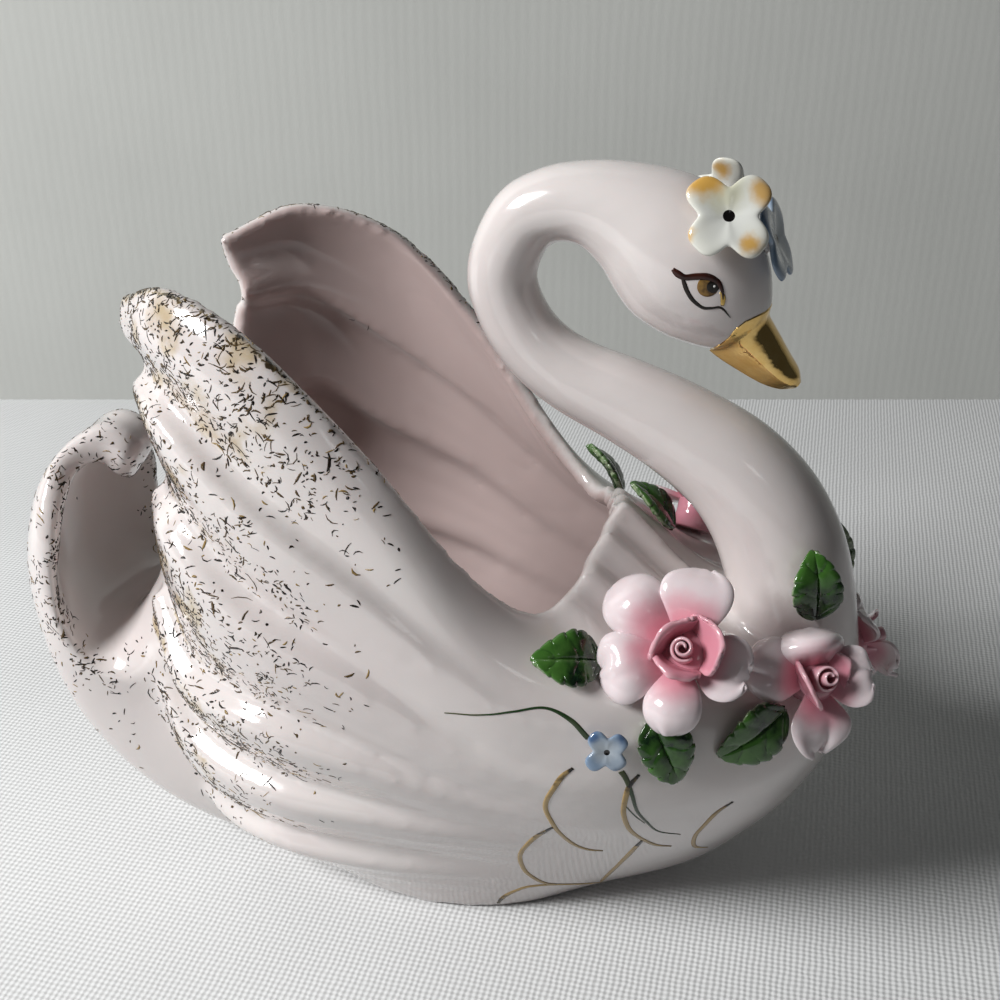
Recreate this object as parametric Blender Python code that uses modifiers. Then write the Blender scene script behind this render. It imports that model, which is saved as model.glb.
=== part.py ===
"""Glazed porcelain swan planter.

One slip-cast body carries fluted wings that form an open bowl, a curled tail, an S-curved neck
and a lowered head. Hand-formed roses, leaves and small flowers are luted on after casting.

Lengths are in millimetres and become metres when a mesh is made. +X is the way the swan faces,
+Z is up, and the origin is the centre of the flat foot. A shape point is (x, half width, z).
"""
import math

import bmesh
import bpy
import numpy as np
from mathutils import Matrix, Vector
from mathutils.bvhtree import BVHTree

MM = 0.001

# Casting
WALL = 3.6
FOOT_HALF_LENGTH = 34.0
FOOT_HALF_WIDTH = 24.0
FOOT_SWEEP = 0.88
FLUTE_COUNT = 6
FLUTE_DEPTH = 2.3
LOBE_REACH = 2.2
COLLAR_FOLD_DEPTH = 0.9
COLLAR_FOLDS = 5
# Share of a flute's height at which its crest stands, and of its depth that it loses at its back end
FLUTE_CREST = 0.86
FLUTE_FADE = 0.25
NECK_SIDES = 14
NECK_RING_COUNT = 27
BILL_SIDES = 10

# Applied work
SEAT_GAP = 0.35
LEAF_THICKNESS = 1.3
LEAF_FOLD = 0.25
LEAF_ARCH = 1.2
LEAF_END_HALF_WIDTH = 0.55
PETAL_THICKNESS = 1.5
HUB_RADIUS = 4.0
HUB_TOP = 2.0
BUD_FOOT = 0.5
BUD_FOOT_RADIUS = 3.1
BUD_TOP_RADIUS = 1.8
BUD_HEIGHT = 7.5
FLOWER_PETALS = 4
FLOWER_THICKNESS = 1.3
FLOWER_DISH = 0.16
FLOWER_EYE = 0.18
STUB_RADIUS = 1.6
# Shares of a petal's or a leaf's length, and of its half width, at which its sheet has points
PETAL_LENGTHS = (0.0, 0.4, 0.78, 1.0)
PETAL_WIDTHS = (-1.0, -0.36, 0.36, 1.0)
LEAF_LENGTHS = (0.0, 0.25, 0.55, 0.82, 1.0)
# Outline of one flower petal, each point as its turn against a petal's width and its share of the radius
FLOWER_OUTLINE = ((-0.5, 0.52), (-0.27, 0.94), (0.0, 1.0), (0.27, 0.94))

# A rose is its make, its centre, the way it faces, its turn in degrees and its size against the full one
ROSES = {
    "rose_wing": ("open", (50.4, -29.8, 75.4), (0.0, -0.76, 0.65), 0, 0.98),
    "rose_breast": ("rolled", (73.2, -20.2, 67.2), (0.45, -0.68, 0.58), 0, 0.84),
    "rose_breast_far": ("rolled", (82.2, 12.0, 56.5), (0.85, 0.48, 0.2), 30, 0.78),
    "rose_wing_far": ("open", (46.5, 26.5, 76.5), (0.1, 0.62, 0.78), 180, 0.95),
}
# An outer petal is its turn in degrees, start, length, width, rise, cup and backward curl
OUTER_PETALS = {
    "open": [(82, 3, 11.6, 12.5, 1.5, 1.6, 1.6), (142, 3, 14.2, 12.0, 2.2, 1.2, 1.4),
             (200, 3, 12.5, 12.0, 3.2, 1.4, 1.4), (270, 3, 12.2, 9.5, 0.5, 1.6, 2.0),
             (345, 3, 9.6, 11.5, 0.5, 1.2, 1.6)],
    "rolled": [(157, 3, 13.0, 14.5, 1.5, 1.4, 1.6), (93, 3, 7.4, 14.0, 1.8, 1.0, 3.2),
               (350, 3, 8.6, 14.0, 3.0, 2.0, 0.8), (265, 3, 13.5, 13.0, 0.5, 1.6, 2.2)],
}
# An inner petal is its middle turn, the angle it spans, its foot and top radius and its height
INNER_PETALS = {
    "open": [(150, 120, 3.8, 6.6, 7.0), (20, 130, 3.8, 7.2, 7.5), (258, 110, 3.8, 6.6, 5.4)],
    "rolled": [(215, 120, 3.8, 6.6, 7.6), (30, 140, 3.8, 6.6, 6.0)],
}

# A leaf is its base, its tip, the way its face looks and its width
LEAVES = {
    "leaf_rim": ((33.5, -33.7, 73.6), (24.8, -39.4, 76.0), (0.3, -0.62, 0.72), 9.0),
    "leaf_flank": ((47.9, -37.6, 61.0), (52.4, -38.0, 51.0), (0.36, -0.9, 0.15), 8.5),
    "leaf_breast": ((67.0, -28.5, 60.5), (58.6, -34.0, 56.3), (0.56, -0.8, 0.2), 9.0),
    "leaf_neck": ((73.0, -14.0, 77.4), (71.8, -13.2, 88.4), (0.45, -0.88, 0.16), 8.5),
    "leaf_neck_far": ((77.5, 12.5, 86.0), (80.5, 14.5, 69.5), (0.75, 0.66, 0.1), 8.5),
    "leaf_wing_far": ((33.0, 28.5, 79.5), (24.5, 33.5, 87.0), (-0.1, 0.5, 0.85), 9.0),
    "leaf_collar": ((44.5, 12.5, 78.5), (36.0, 10.0, 88.5), (0.75, -0.1, 0.66), 8.5),
    "leaf_flank_far": ((46.6, 37.6, 66.0), (52.4, 38.0, 51.0), (0.36, 0.9, 0.15), 9.0),
}
# A small flower is its glaze, its centre, the way it faces, its turn and its radius
FLOWERS = {
    "flower_wing": ("blue", (39.4, -41.6, 60.5), (0.25, -0.93, 0.25), 20, 4.2),
    "flower_crown": ("cream", (50.6, -9.0, 146.8), (0.2, -0.83, 0.52), 10, 8.0),
    "flower_brow": ("blue", (59.6, 1.6, 143.5), (0.88, 0.2, 0.42), 40, 8.0),
    "flower_crown_far": ("cream", (49.0, 8.5, 147.5), (0.1, 0.8, 0.6), 0, 7.0),
}

# Lines of the wing and hull, each from the breast back to the wing's trailing edge
RIM = [(34, 0, 88), (31.5, 11, 84.5), (29, 21, 80.7), (23, 28, 78.8), (12.5, 34, 89),
       (-3, 37, 109.5), (-22, 37.5, 127.5), (-41, 31, 134), (-55.5, 20.5, 128.5)]
SHOULDER = [(54, 0, 70), (51, 12, 70.5), (43, 23, 71.5), (31, 32, 73), (15, 38.5, 81),
            (-3, 40.8, 99), (-23, 40, 114.5), (-41.5, 33, 123.5), (-54, 21.5, 121.5)]
RIDGE_1 = [(77, 0, 64.5), (72, 16, 64), (60.5, 27, 64.5), (43, 36, 66), (22, 42, 69),
           (-6, 43, 90.5), (-25, 41.1, 103.3), (-42, 34, 114.5), (-53, 22, 115.5)]
RIDGE_2 = [(81.5, 0, 50), (76.5, 16, 50.5), (64, 28.5, 51), (43, 38, 52), (20, 42.2, 55.5),
           (-6, 44, 72), (-26, 42, 82), (-42, 35, 93), (-52.5, 20.5, 93)]
RIDGE_3 = [(77, 0, 36), (72, 14.5, 36.5), (59.5, 25.5, 37.5), (38, 34.5, 38.5), (16, 39.3, 44),
           (-6, 42.6, 52.5), (-26, 41.3, 57.6), (-45, 32, 59), (-55, 20.5, 69)]
RIDGE_4 = [(68.5, 0, 21.5), (63, 12.5, 22.5), (51.5, 22, 24.5), (33, 30, 28.5), (12, 36, 33),
           (-8, 38.6, 36.7), (-27, 37.3, 38.3), (-46, 29.5, 41), (-58, 19.5, 54)]
RIDGE_5 = [(56, 0, 7.5), (51, 9, 8.5), (41, 17, 11), (26, 25, 15), (9, 30, 18),
           (-9, 32.5, 19), (-29, 32, 19.8), (-47, 24.5, 19.5), (-57, 18.5, 31)]

# Lines of the tail, each from inside the bowl back, up and over to the curled tip
TAIL_TIP = (-70.5, 0, 80)
TAIL_KEEL = [(-30, 0, 1.2), (-45, 0, 2.5), (-60, 0, 5.5), (-73, 0, 12), (-83, 0, 24), (-89.5, 0, 42),
             (-92.3, 0, 62), (-87.5, 0, 80), (-80.5, 0, 90), (-72.5, 0, 94.5), (-66, 0, 90), TAIL_TIP]
TAIL_BILGE = [(-31, 16, 2.5), (-45, 18, 6), (-59, 19, 12), (-71, 18.5, 20), (-80, 18, 31),
              (-86, 17, 46), (-88.5, 15.5, 64), (-86, 12, 81), (-80, 7, 91), (-72, 4.5, 94.5),
              (-66, 4, 90), TAIL_TIP]
TAIL_FLANK = [(-40, 26, 35), (-49, 23.5, 36), (-59, 22, 38), (-69, 22.5, 41), (-76.5, 23, 47),
              (-80.5, 23.3, 60), (-81, 22, 76), (-80.3, 17, 85.5), (-78.5, 10.5, 90.5), (-72, 7, 92),
              (-67.5, 6, 87.5), TAIL_TIP]
TAIL_LIP = [(-44, 29.5, 66), (-50, 24.2, 66), (-57, 22, 54), (-65.5, 22, 47.5), (-73.5, 22.6, 49.5),
            (-78, 22.4, 62), (-76.5, 20, 75.5), (-76.8, 15, 82.8), (-76, 9.5, 86.5), (-72.8, 6.3, 86.5),
            (-70.5, 5.5, 84), TAIL_TIP]
TAIL_DISH = [(-47, 16, 74), (-54, 14, 77), (-61, 13, 63), (-69, 12.5, 53), (-77.5, 12.5, 53.5),
             (-83, 12.5, 62.5), (-84.5, 11, 73.5), (-82.5, 8, 82), (-78.5, 5.5, 87), (-74.5, 4.5, 87.5),
             (-72.5, 4, 84.5), TAIL_TIP]
TAIL_DECK = [(-48, 0, 72), (-55, 0, 75), (-62.5, 0, 62), (-70, 0, 53), (-79, 0, 52.5), (-85.5, 0, 61),
             (-87, 0, 73), (-84.5, 0, 82.5), (-79, 0, 88.5), (-74, 0, 88.5), (-73, 0, 84.5), TAIL_TIP]

TAIL_LINES = [TAIL_KEEL, TAIL_BILGE, TAIL_FLANK, TAIL_LIP, TAIL_DISH, TAIL_DECK]
TAIL_PLACES = [0, 0.7, 1.4, 2, 2.6, 3.2, 3.8, 4.4, 5, 5.6, 6.2, 6.8, 7.4, 8, 8.5, 9, 9.5, 10, 10.6, 10.9]
HOLLOW_PLACES = [-0.3, 0, 0.7, 1.4, 2, 2.6, 3.2]

# Rows of the hull counted in lines from the keel up, four to a flute, and columns counted in stations
HULL_ROWS = ([0.0] + [line + part for line in (1, 2, 3, 4, 5) for part in (0.0, 0.35, 0.68, 0.88)]
             + [6.0, 6.5, 7.0, 7.5, 8.0])
HULL_COLUMNS = [0, 0.5, 1, 1.5, 2, 2.5, 3, 3.5, 4, 4.5, 5, 5.5, 6, 6.5, 7, 7.4, 7.75, 8]

# Neck and head, each ring as (x, z, radius in the middle plane, half width)
NECK_RINGS = [(68.5, 56, 14.5, 15), (68.5, 66, 12.4, 12.6), (67.3, 74, 12.0, 12.0),
              (64.8, 82.5, 11.8, 11.4), (60.3, 91, 11.2, 10.6), (53.5, 98.3, 10.2, 9.8),
              (44.0, 104.3, 9.0, 9.0), (34.0, 109.0, 8.0, 8.2), (24.6, 112.8, 7.1, 7.6),
              (17.3, 117.6, 6.6, 7.0), (12.4, 124.2, 6.4, 6.7), (10.3, 132.2, 6.4, 6.6),
              (13.9, 141.3, 6.4, 6.7), (19.2, 144.6, 6.6, 7.0), (25.5, 145.3, 7.4, 7.6),
              (32.0, 143.6, 9.6, 9.0), (38.0, 140.4, 12.2, 10.8), (43.6, 136.0, 13.2, 11.6),
              (48.4, 131.2, 11.6, 10.4), (52.0, 127.2, 8.6, 8.0), (54.4, 124.4, 5.6, 5.4)]
BILL_RINGS = [(51.0, 126.6, 6.0, 5.4), (54.0, 123.8, 5.6, 5.0), (57.2, 120.8, 4.6, 4.4),
              (60.4, 117.9, 3.4, 4.0), (62.8, 116.2, 2.3, 3.2), (64.3, 115.2, 0.9, 1.5)]


def through(points, place):
    """Point at `place`, counted in stations, on a smooth curve through the points."""
    points = np.asarray(points, float)
    last = len(points) - 1
    start = min(int(place), last - 1)
    part = place - start
    before = points[start - 1] if start > 0 else 2 * points[0] - points[1]
    after = points[start + 2] if start + 2 <= last else 2 * points[last] - points[last - 1]
    here, there = points[start], points[start + 1]
    return 0.5 * (2 * here + (there - before) * part
                  + (2 * before - 5 * here + 4 * there - after) * part ** 2
                  + (3 * here - before - 3 * there + after) * part ** 3)


def smooth_step(low, high, value):
    part = min(max((value - low) / (high - low), 0.0), 1.0)
    return part * part * (3 - 2 * part)


def mesh_object(name, vertices, faces, collection):
    """Object from points in millimetres, with the collapsed corners welded."""
    mesh = bpy.data.meshes.new(name)
    shape = bmesh.new()
    made = [shape.verts.new(Vector(point) * MM) for point in vertices]
    for face in faces:
        shape.faces.new([made[index] for index in face])
    bmesh.ops.remove_doubles(shape, verts=shape.verts, dist=1e-6)
    bmesh.ops.dissolve_degenerate(shape, edges=shape.edges, dist=1e-7)
    shape.to_mesh(mesh)
    shape.free()
    mesh.shade_smooth()
    item = bpy.data.objects.new(name, mesh)
    collection.objects.link(item)
    return item


def grid_faces(rows, columns, start=0, around=False):
    """Quads between the points of a grid stored row by row."""
    faces = []
    for row in range(rows - 1):
        for column in range(columns if around else columns - 1):
            beside = (column + 1) % columns
            corner = start + row * columns
            above = corner + columns
            faces.append((corner + column, above + column, above + beside, corner + beside))
    return faces


def flute_profile(fraction):
    """Height of a flute from its lower groove (0) over a round belly to its crest, then down."""
    if fraction <= FLUTE_CREST:
        return 2 * math.sin(0.5 * math.pi * fraction / FLUTE_CREST) ** 1.2 - 1
    return math.cos(math.pi * (fraction - FLUTE_CREST) / (1 - FLUTE_CREST))


def hull_lines():
    """The foot and keel by rule, then the ridges and the rim, from the bottom up."""
    angles = [FOOT_SWEEP * math.pi * station / 8 for station in range(9)]
    keel = [(FOOT_HALF_LENGTH * math.cos(angle), 0, 0) for angle in angles]
    foot = [(FOOT_HALF_LENGTH * math.cos(angle), FOOT_HALF_WIDTH * math.sin(angle), 0) for angle in angles]
    return [keel, foot, RIDGE_5, RIDGE_4, RIDGE_3, RIDGE_2, RIDGE_1, SHOULDER, RIM]


def flute_at(row):
    """Height and trailing lobe of the flutes at a row, the collar's own roll above them."""
    if row < 1:
        return 0.0, 0.0
    if row >= FLUTE_COUNT:
        fraction = (row - FLUTE_COUNT) / 2
        return 0.8 * math.sin(1.5 * math.pi * fraction - 0.5 * math.pi), 0.0
    fraction = row - int(row)
    return flute_profile(fraction) * min(1.0, row - 1), math.sin(math.pi * min(fraction / 0.9, 1.0))


def hull_skin():
    """Near half of the fluted skin, one row of points for each place between the lines."""
    lines = hull_lines()
    skin = []
    for row in HULL_ROWS:
        points = []
        for column in HULL_COLUMNS:
            across = [through(line, column) for line in lines]
            if row <= 1:
                points.append(across[0] * (1 - row) + across[1] * row)
            else:
                points.append(through(across[1:], row - 1))
        skin.append(points)
    skin = np.array(skin)
    along = np.gradient(skin, axis=1)
    ahead = along / np.maximum(np.linalg.norm(along, axis=2, keepdims=True), 1e-9)
    outward = np.cross(np.gradient(skin, axis=0), along)
    outward /= np.maximum(np.linalg.norm(outward, axis=2, keepdims=True), 1e-9)
    outward *= np.sign(outward[:, :, 1:2] + 1e-9)
    for i, row in enumerate(HULL_ROWS):
        for j, column in enumerate(HULL_COLUMNS):
            height, lobe = flute_at(row)
            depth = FLUTE_DEPTH * smooth_step(3.0, 6.5, column) * (1 - FLUTE_FADE * smooth_step(7.0, 8.0, column))
            skin[i, j] += outward[i, j] * depth * height
            skin[i, j] += ahead[i, j] * LOBE_REACH * lobe * smooth_step(7.0, 8.0, column)
            if row > FLUTE_COUNT:
                fold = math.cos(2 * math.pi * COLLAR_FOLDS * column / 4)
                fold *= smooth_step(3.2, 1.5, column) * smooth_step(6.0, 7.6, row)
                skin[i, j] += outward[i, j] * COLLAR_FOLD_DEPTH * fold
    skin[:, 0, 1] = 0
    skin[0, :, 1] = 0
    skin[0:2, :, 2] = 0
    skin[:, :, 1] *= -1
    return skin


def make_hull(collection):
    skin = hull_skin()
    rows, columns = skin.shape[:2]
    hull = mesh_object("swan_body", skin.reshape(-1, 3), grid_faces(rows, columns), collection)
    mirror = hull.modifiers.new("far side", "MIRROR")
    mirror.use_axis = (False, True, False)
    mirror.merge_threshold = 1e-5
    shell = hull.modifiers.new("wall", "SOLIDIFY")
    shell.thickness = WALL * MM
    shell.offset = -1
    return hull


def ring(points, segments):
    """Closed ring of points through a half section, the keel first, mirrored to the far side."""
    near = np.asarray(points, float)
    closed = np.vstack([near, (near * (1, -1, 1))[-2:0:-1]])
    count = len(closed)
    result = []
    for index in range(count):
        quad = [closed[(index + step) % count] for step in (-1, 0, 1, 2)]
        for part in range(segments):
            result.append(through(quad, 1 + part / segments))
    return result


def tail_rings(places, inset):
    """Rings of the tail at the given stations, moved in from the skin by the inset."""
    rings = []
    for place in places:
        points = np.array(ring([through(line, place) for line in TAIL_LINES], 2))
        away = points - points.mean(axis=0)
        points -= away * inset / np.linalg.norm(away, axis=1, keepdims=True)
        rings.append(points)
    return rings


def recalculated(item):
    """The object with its faces turned outward."""
    shape = bmesh.new()
    shape.from_mesh(item.data)
    bmesh.ops.recalc_face_normals(shape, faces=shape.faces)
    shape.to_mesh(item.data)
    shape.free()
    return item


def lofted(name, rings, collection):
    """Closed solid through rings of points, with flat ends."""
    count = len(rings[0])
    points = [point for one in rings for point in one]
    faces = grid_faces(len(rings), count, around=True)
    faces.append(tuple(reversed(range(count))))
    faces.append(tuple(range(count * (len(rings) - 1), count * len(rings))))
    return recalculated(mesh_object(name, points, faces, collection))


def tube_rings(stations, sides, places):
    """Rings square to a spine that lies in the middle plane."""
    stations = np.asarray(stations, float)
    rings = []
    for place in places:
        x, z, radius, half_width = through(stations, place)
        ahead = through(stations, min(place + 0.05, len(stations) - 1))
        behind = through(stations, max(place - 0.05, 0))
        way = Vector((ahead[0] - behind[0], 0, ahead[1] - behind[1])).normalized()
        side = Vector((0, 1, 0))
        up = side.cross(way)
        centre = Vector((x, 0, z))
        loop = []
        for index in range(sides):
            angle = 2 * math.pi * index / sides
            loop.append(centre + up * radius * math.cos(angle) + side * half_width * math.sin(angle))
        rings.append(loop)
    return rings


def plate(grid, thickness):
    """Closed sheet of even thickness about a grid of points."""
    grid = np.asarray(grid, float)
    rows, columns = grid.shape[:2]
    normal = np.cross(np.gradient(grid, axis=0), np.gradient(grid, axis=1))
    normal /= np.maximum(np.linalg.norm(normal, axis=2, keepdims=True), 1e-9)
    top = (grid + normal * thickness / 2).reshape(-1, 3)
    bottom = (grid - normal * thickness / 2).reshape(-1, 3)
    faces = grid_faces(rows, columns)
    lower = rows * columns
    faces += [tuple(lower + index for index in reversed(face)) for face in faces]
    edge = list(range(columns))
    edge += [row * columns + columns - 1 for row in range(1, rows)]
    edge += [(rows - 1) * columns + column for column in range(columns - 2, -1, -1)]
    edge += [row * columns for row in range(rows - 2, 0, -1)]
    for here, there in zip(edge, edge[1:] + edge[:1]):
        faces.append((here, there, lower + there, lower + here))
    return np.vstack([top, bottom]), faces


def frame(centre, facing, turn):
    """Placement at a point with local z along the facing and local x level, then turned."""
    ahead = Vector(facing).normalized()
    side = Vector((0, 0, 1)).cross(ahead).normalized()
    if ahead.y > 0:
        side = -side
    turned = Matrix((side, ahead.cross(side), ahead)).transposed()
    turned @= Matrix.Rotation(math.radians(turn), 3, "Z")
    return Matrix.Translation(Vector(centre)) @ turned.to_4x4()


def outer_petal(turn, start, length, width, rise, cup, curl):
    """Cupped petal that leaves the hub at `start` and rolls back at its tip."""
    angle = math.radians(turn)
    rows = []
    for part in PETAL_LENGTHS:
        half = 0.5 * width * min(1.0, 0.35 + 0.9 * math.sin(0.5 * math.pi * min(part / 0.7, 1.0)))
        half *= math.sqrt(1 - 0.55 * max((part - 0.55) / 0.45, 0.0) ** 2)
        row = []
        for side in PETAL_WIDTHS:
            out = start + length * part * (1 - 0.10 * side * side)
            height = rise * part + cup * side * side * math.sin(math.pi * part) - curl * part ** 4
            x = out * math.cos(angle) - side * half * math.sin(angle)
            y = out * math.sin(angle) + side * half * math.cos(angle)
            row.append((x, y, height))
        rows.append(row)
    return rows


def inner_petal(turn, span, foot, top, height):
    """Upright petal wrapped round the bud, its outer corners lower than its middle."""
    rows = []
    for part in PETAL_LENGTHS:
        radius = foot + (top - foot) * part ** 1.6
        row = []
        for side in PETAL_WIDTHS:
            angle = math.radians(turn + 0.5 * span * side)
            drop = 0.35 * height * side * side * part
            row.append((radius * math.cos(angle), radius * math.sin(angle), height * part - drop))
        rows.append(row)
    return rows


def seat_depth(surface, place, radius):
    """Distance down the placement's axis at which a peg of this radius stops short of the casting."""
    axis = place.to_3x3().col[2]
    spots = [(0, 0)]
    for step in range(8):
        angle = 0.25 * math.pi * step
        spots.append((radius * math.cos(angle), radius * math.sin(angle)))
    depths = []
    for x, y in spots:
        distance = surface.ray_cast(place @ Vector((x, y, 0)), -axis)[3]
        if distance is not None:
            depths.append(distance)
    return min(depths) - SEAT_GAP


def peg(name, place, low, high, low_radius, high_radius, collection):
    """Tapered round peg along the placement's axis."""
    rings = []
    for height, radius in ((low, low_radius), (high, high_radius)):
        loop = []
        for step in range(8):
            angle = 0.25 * math.pi * step
            loop.append(place @ Vector((radius * math.cos(angle), radius * math.sin(angle), height)))
        rings.append(loop)
    return lofted(name, rings, collection)


def sheets(name, plates, place, collection):
    """One object from several closed sheets."""
    points = []
    faces = []
    for corners, sides in plates:
        start = len(points)
        points += [place @ Vector(corner) for corner in corners]
        faces += [tuple(start + index for index in side) for side in sides]
    return mesh_object(name, points, faces, collection)


def make_rose(name, make, centre, facing, turn, size, surface, parts, guides):
    place = frame(centre, facing, turn)
    petals = [outer_petal(*petal) for petal in OUTER_PETALS[make]]
    petals += [inner_petal(*petal) for petal in INNER_PETALS[make]]
    rose = sheets(name, [plate(np.array(petal) * size, PETAL_THICKNESS) for petal in petals], place, parts)
    radius = HUB_RADIUS * size
    hub = peg(name + "_hub", place, -seat_depth(surface, place, radius), HUB_TOP * size, radius,
              1.2 * radius, guides)
    bud = peg(name + "_bud", place, BUD_FOOT * size, BUD_HEIGHT * size, BUD_FOOT_RADIUS * size,
              BUD_TOP_RADIUS * size, guides)
    joined(rose, hub, "UNION")
    rose.modifiers[-1].use_self = True
    joined(rose, bud, "UNION")
    return rose


def make_leaf(name, base, tip, facing, width, surface, parts):
    """Pointed leaf folded along its midrib, lowered until it all but touches the casting."""
    base, tip = Vector(base), Vector(tip)
    way = (tip - base).normalized()
    side = way.cross(Vector(facing)).normalized()
    face = side.cross(way).normalized()
    rows = []
    for part in LEAF_LENGTHS:
        half = 0.5 * width * max(math.sin(math.pi * part ** 0.8), 0.0) ** 0.8
        half = max(half, LEAF_END_HALF_WIDTH)
        middle = base + (tip - base) * part + face * LEAF_ARCH * math.sin(math.pi * part)
        raised = face * LEAF_FOLD * half
        rows.append([middle - side * half + raised, middle, middle + side * half + raised])
    corners, faces = plate(rows, LEAF_THICKNESS)
    gaps = []
    for corner in corners:
        distance = surface.ray_cast(Vector(corner) + face * 8.0, -face)[3]
        if distance is not None:
            gaps.append(distance - 8.0)
    lowered = Matrix.Translation(-face * (min(gaps) - SEAT_GAP))
    return sheets(name, [(corners, faces)], lowered, parts)


def make_flower(name, centre, facing, turn, radius, surface, parts, guides):
    """Flower stamped from a thin sheet and dished, on a short stub."""
    place = frame(centre, facing, turn)
    rim = []
    for petal in range(FLOWER_PETALS):
        for step, share in FLOWER_OUTLINE:
            angle = 2 * math.pi * (petal + step) / FLOWER_PETALS
            reach = radius * share
            rim.append((reach * math.cos(angle), reach * math.sin(angle), FLOWER_DISH * reach))
    eye = [(FLOWER_EYE * x, FLOWER_EYE * y, 0) for x, y, z in rim]
    under = [[(x, y, z - FLOWER_THICKNESS) for x, y, z in row] for row in (rim, eye)]
    rings = [[place @ Vector(point) for point in row] for row in (eye, rim, *under)]
    flower = lofted(name, rings, parts)
    stub = peg(name + "_stub", place, -seat_depth(surface, place, STUB_RADIUS), -0.3 * FLOWER_THICKNESS,
               STUB_RADIUS, STUB_RADIUS, guides)
    joined(flower, stub, "UNION")
    return flower


def joined(base, other, operation):
    step = base.modifiers.new(operation.lower(), "BOOLEAN")
    step.operation = operation
    step.object = other
    step.solver = "EXACT"
    other.hide_render = True
    other.display_type = "WIRE"


def material(name, colour, roughness):
    made = bpy.data.materials.new(name)
    made.use_nodes = True
    shader = made.node_tree.nodes["Principled BSDF"]
    shader.inputs["Base Color"].default_value = (*colour, 1)
    shader.inputs["Roughness"].default_value = roughness
    return made


def make_body(parts, guides):
    body = make_hull(parts)
    tail = lofted("tail", tail_rings(TAIL_PLACES, 0), guides)
    hollow = lofted("tail_hollow", tail_rings(HOLLOW_PLACES, WALL), guides)
    places = np.linspace(0, len(NECK_RINGS) - 1, NECK_RING_COUNT)
    neck = lofted("neck", tube_rings(NECK_RINGS, NECK_SIDES, places), guides)
    bill = lofted("bill", tube_rings(BILL_RINGS, BILL_SIDES, range(len(BILL_RINGS))), guides)
    joined(body, tail, "UNION")
    joined(body, neck, "UNION")
    joined(body, bill, "UNION")
    joined(body, hollow, "DIFFERENCE")
    body.modifiers[-1].use_self = True
    return body


def casting_surface(body):
    """Search tree of the finished casting, in millimetres."""
    bpy.context.view_layer.update()
    cast = body.evaluated_get(bpy.context.evaluated_depsgraph_get()).to_mesh()
    return BVHTree.FromPolygons([corner.co / MM for corner in cast.vertices],
                                [side.vertices for side in cast.polygons])


for old in list(bpy.data.objects):
    bpy.data.objects.remove(old)
planter = bpy.data.collections.new("swan_planter")
helpers = bpy.data.collections.new("guides")
bpy.context.scene.collection.children.link(planter)
bpy.context.scene.collection.children.link(helpers)

swan = make_body(planter, helpers)
swan.data.materials.append(material("pale pink porcelain", (0.86, 0.79, 0.79), 0.12))
glaze = casting_surface(swan)

petal_pink = material("rose pink glaze", (0.80, 0.38, 0.42), 0.25)
leaf_green = material("leaf green glaze", (0.06, 0.20, 0.05), 0.18)
flower_glazes = {"blue": material("pale blue glaze", (0.42, 0.55, 0.75), 0.2),
                 "cream": material("cream white glaze", (0.90, 0.85, 0.72), 0.2)}
for rose_name, values in ROSES.items():
    make_rose(rose_name, *values, glaze, planter, helpers).data.materials.append(petal_pink)
for leaf_name, values in LEAVES.items():
    make_leaf(leaf_name, *values, glaze, planter).data.materials.append(leaf_green)
for flower_name, (colour, *values) in FLOWERS.items():
    make_flower(flower_name, *values, glaze, planter, helpers).data.materials.append(flower_glazes[colour])
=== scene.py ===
import math

import bmesh
import bpy
import numpy as np
from mathutils import Matrix, Vector
from mathutils.bvhtree import BVHTree
from mathutils.noise import noise as noise_value


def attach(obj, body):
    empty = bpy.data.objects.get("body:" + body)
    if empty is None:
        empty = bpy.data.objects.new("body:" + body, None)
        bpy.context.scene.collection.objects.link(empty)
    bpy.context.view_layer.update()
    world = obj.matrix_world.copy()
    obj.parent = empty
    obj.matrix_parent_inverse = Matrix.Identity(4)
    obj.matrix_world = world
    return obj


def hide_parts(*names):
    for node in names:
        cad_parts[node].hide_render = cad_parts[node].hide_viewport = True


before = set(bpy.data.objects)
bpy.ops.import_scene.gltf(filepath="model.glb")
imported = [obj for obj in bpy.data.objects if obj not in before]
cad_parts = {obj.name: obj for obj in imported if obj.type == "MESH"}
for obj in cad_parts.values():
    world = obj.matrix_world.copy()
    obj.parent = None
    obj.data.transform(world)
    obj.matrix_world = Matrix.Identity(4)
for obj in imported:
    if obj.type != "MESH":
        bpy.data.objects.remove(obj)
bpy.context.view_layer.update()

# The casting. One slip-cast porcelain body: fluted wings that rise from the breast to form an open
# bowl, a curled tail that closes it behind, and a neck and head let in at the breast. Its mould lines
# are sponged away, the rim is rounded by hand and the whole is dipped in a clear blush glaze.
MM = 0.001
WALL = 3.6
FOOT_HALF_LENGTH = 34.0
FOOT_HALF_WIDTH = 24.0
FOOT_SWEEP = 0.88
FLUTES = 6
FLUTE_CREST = 0.86
FLUTE_DEPTH = 2.3
FLUTE_FADE = 0.25
RIB_DEPTH = 0.16
LOBE_REACH = 2.2
COLLAR_FOLDS = 5
COLLAR_FOLD_DEPTH = 0.9
INNER_FLUTE_SHARE = 0.75
VOXEL = 0.92

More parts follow.
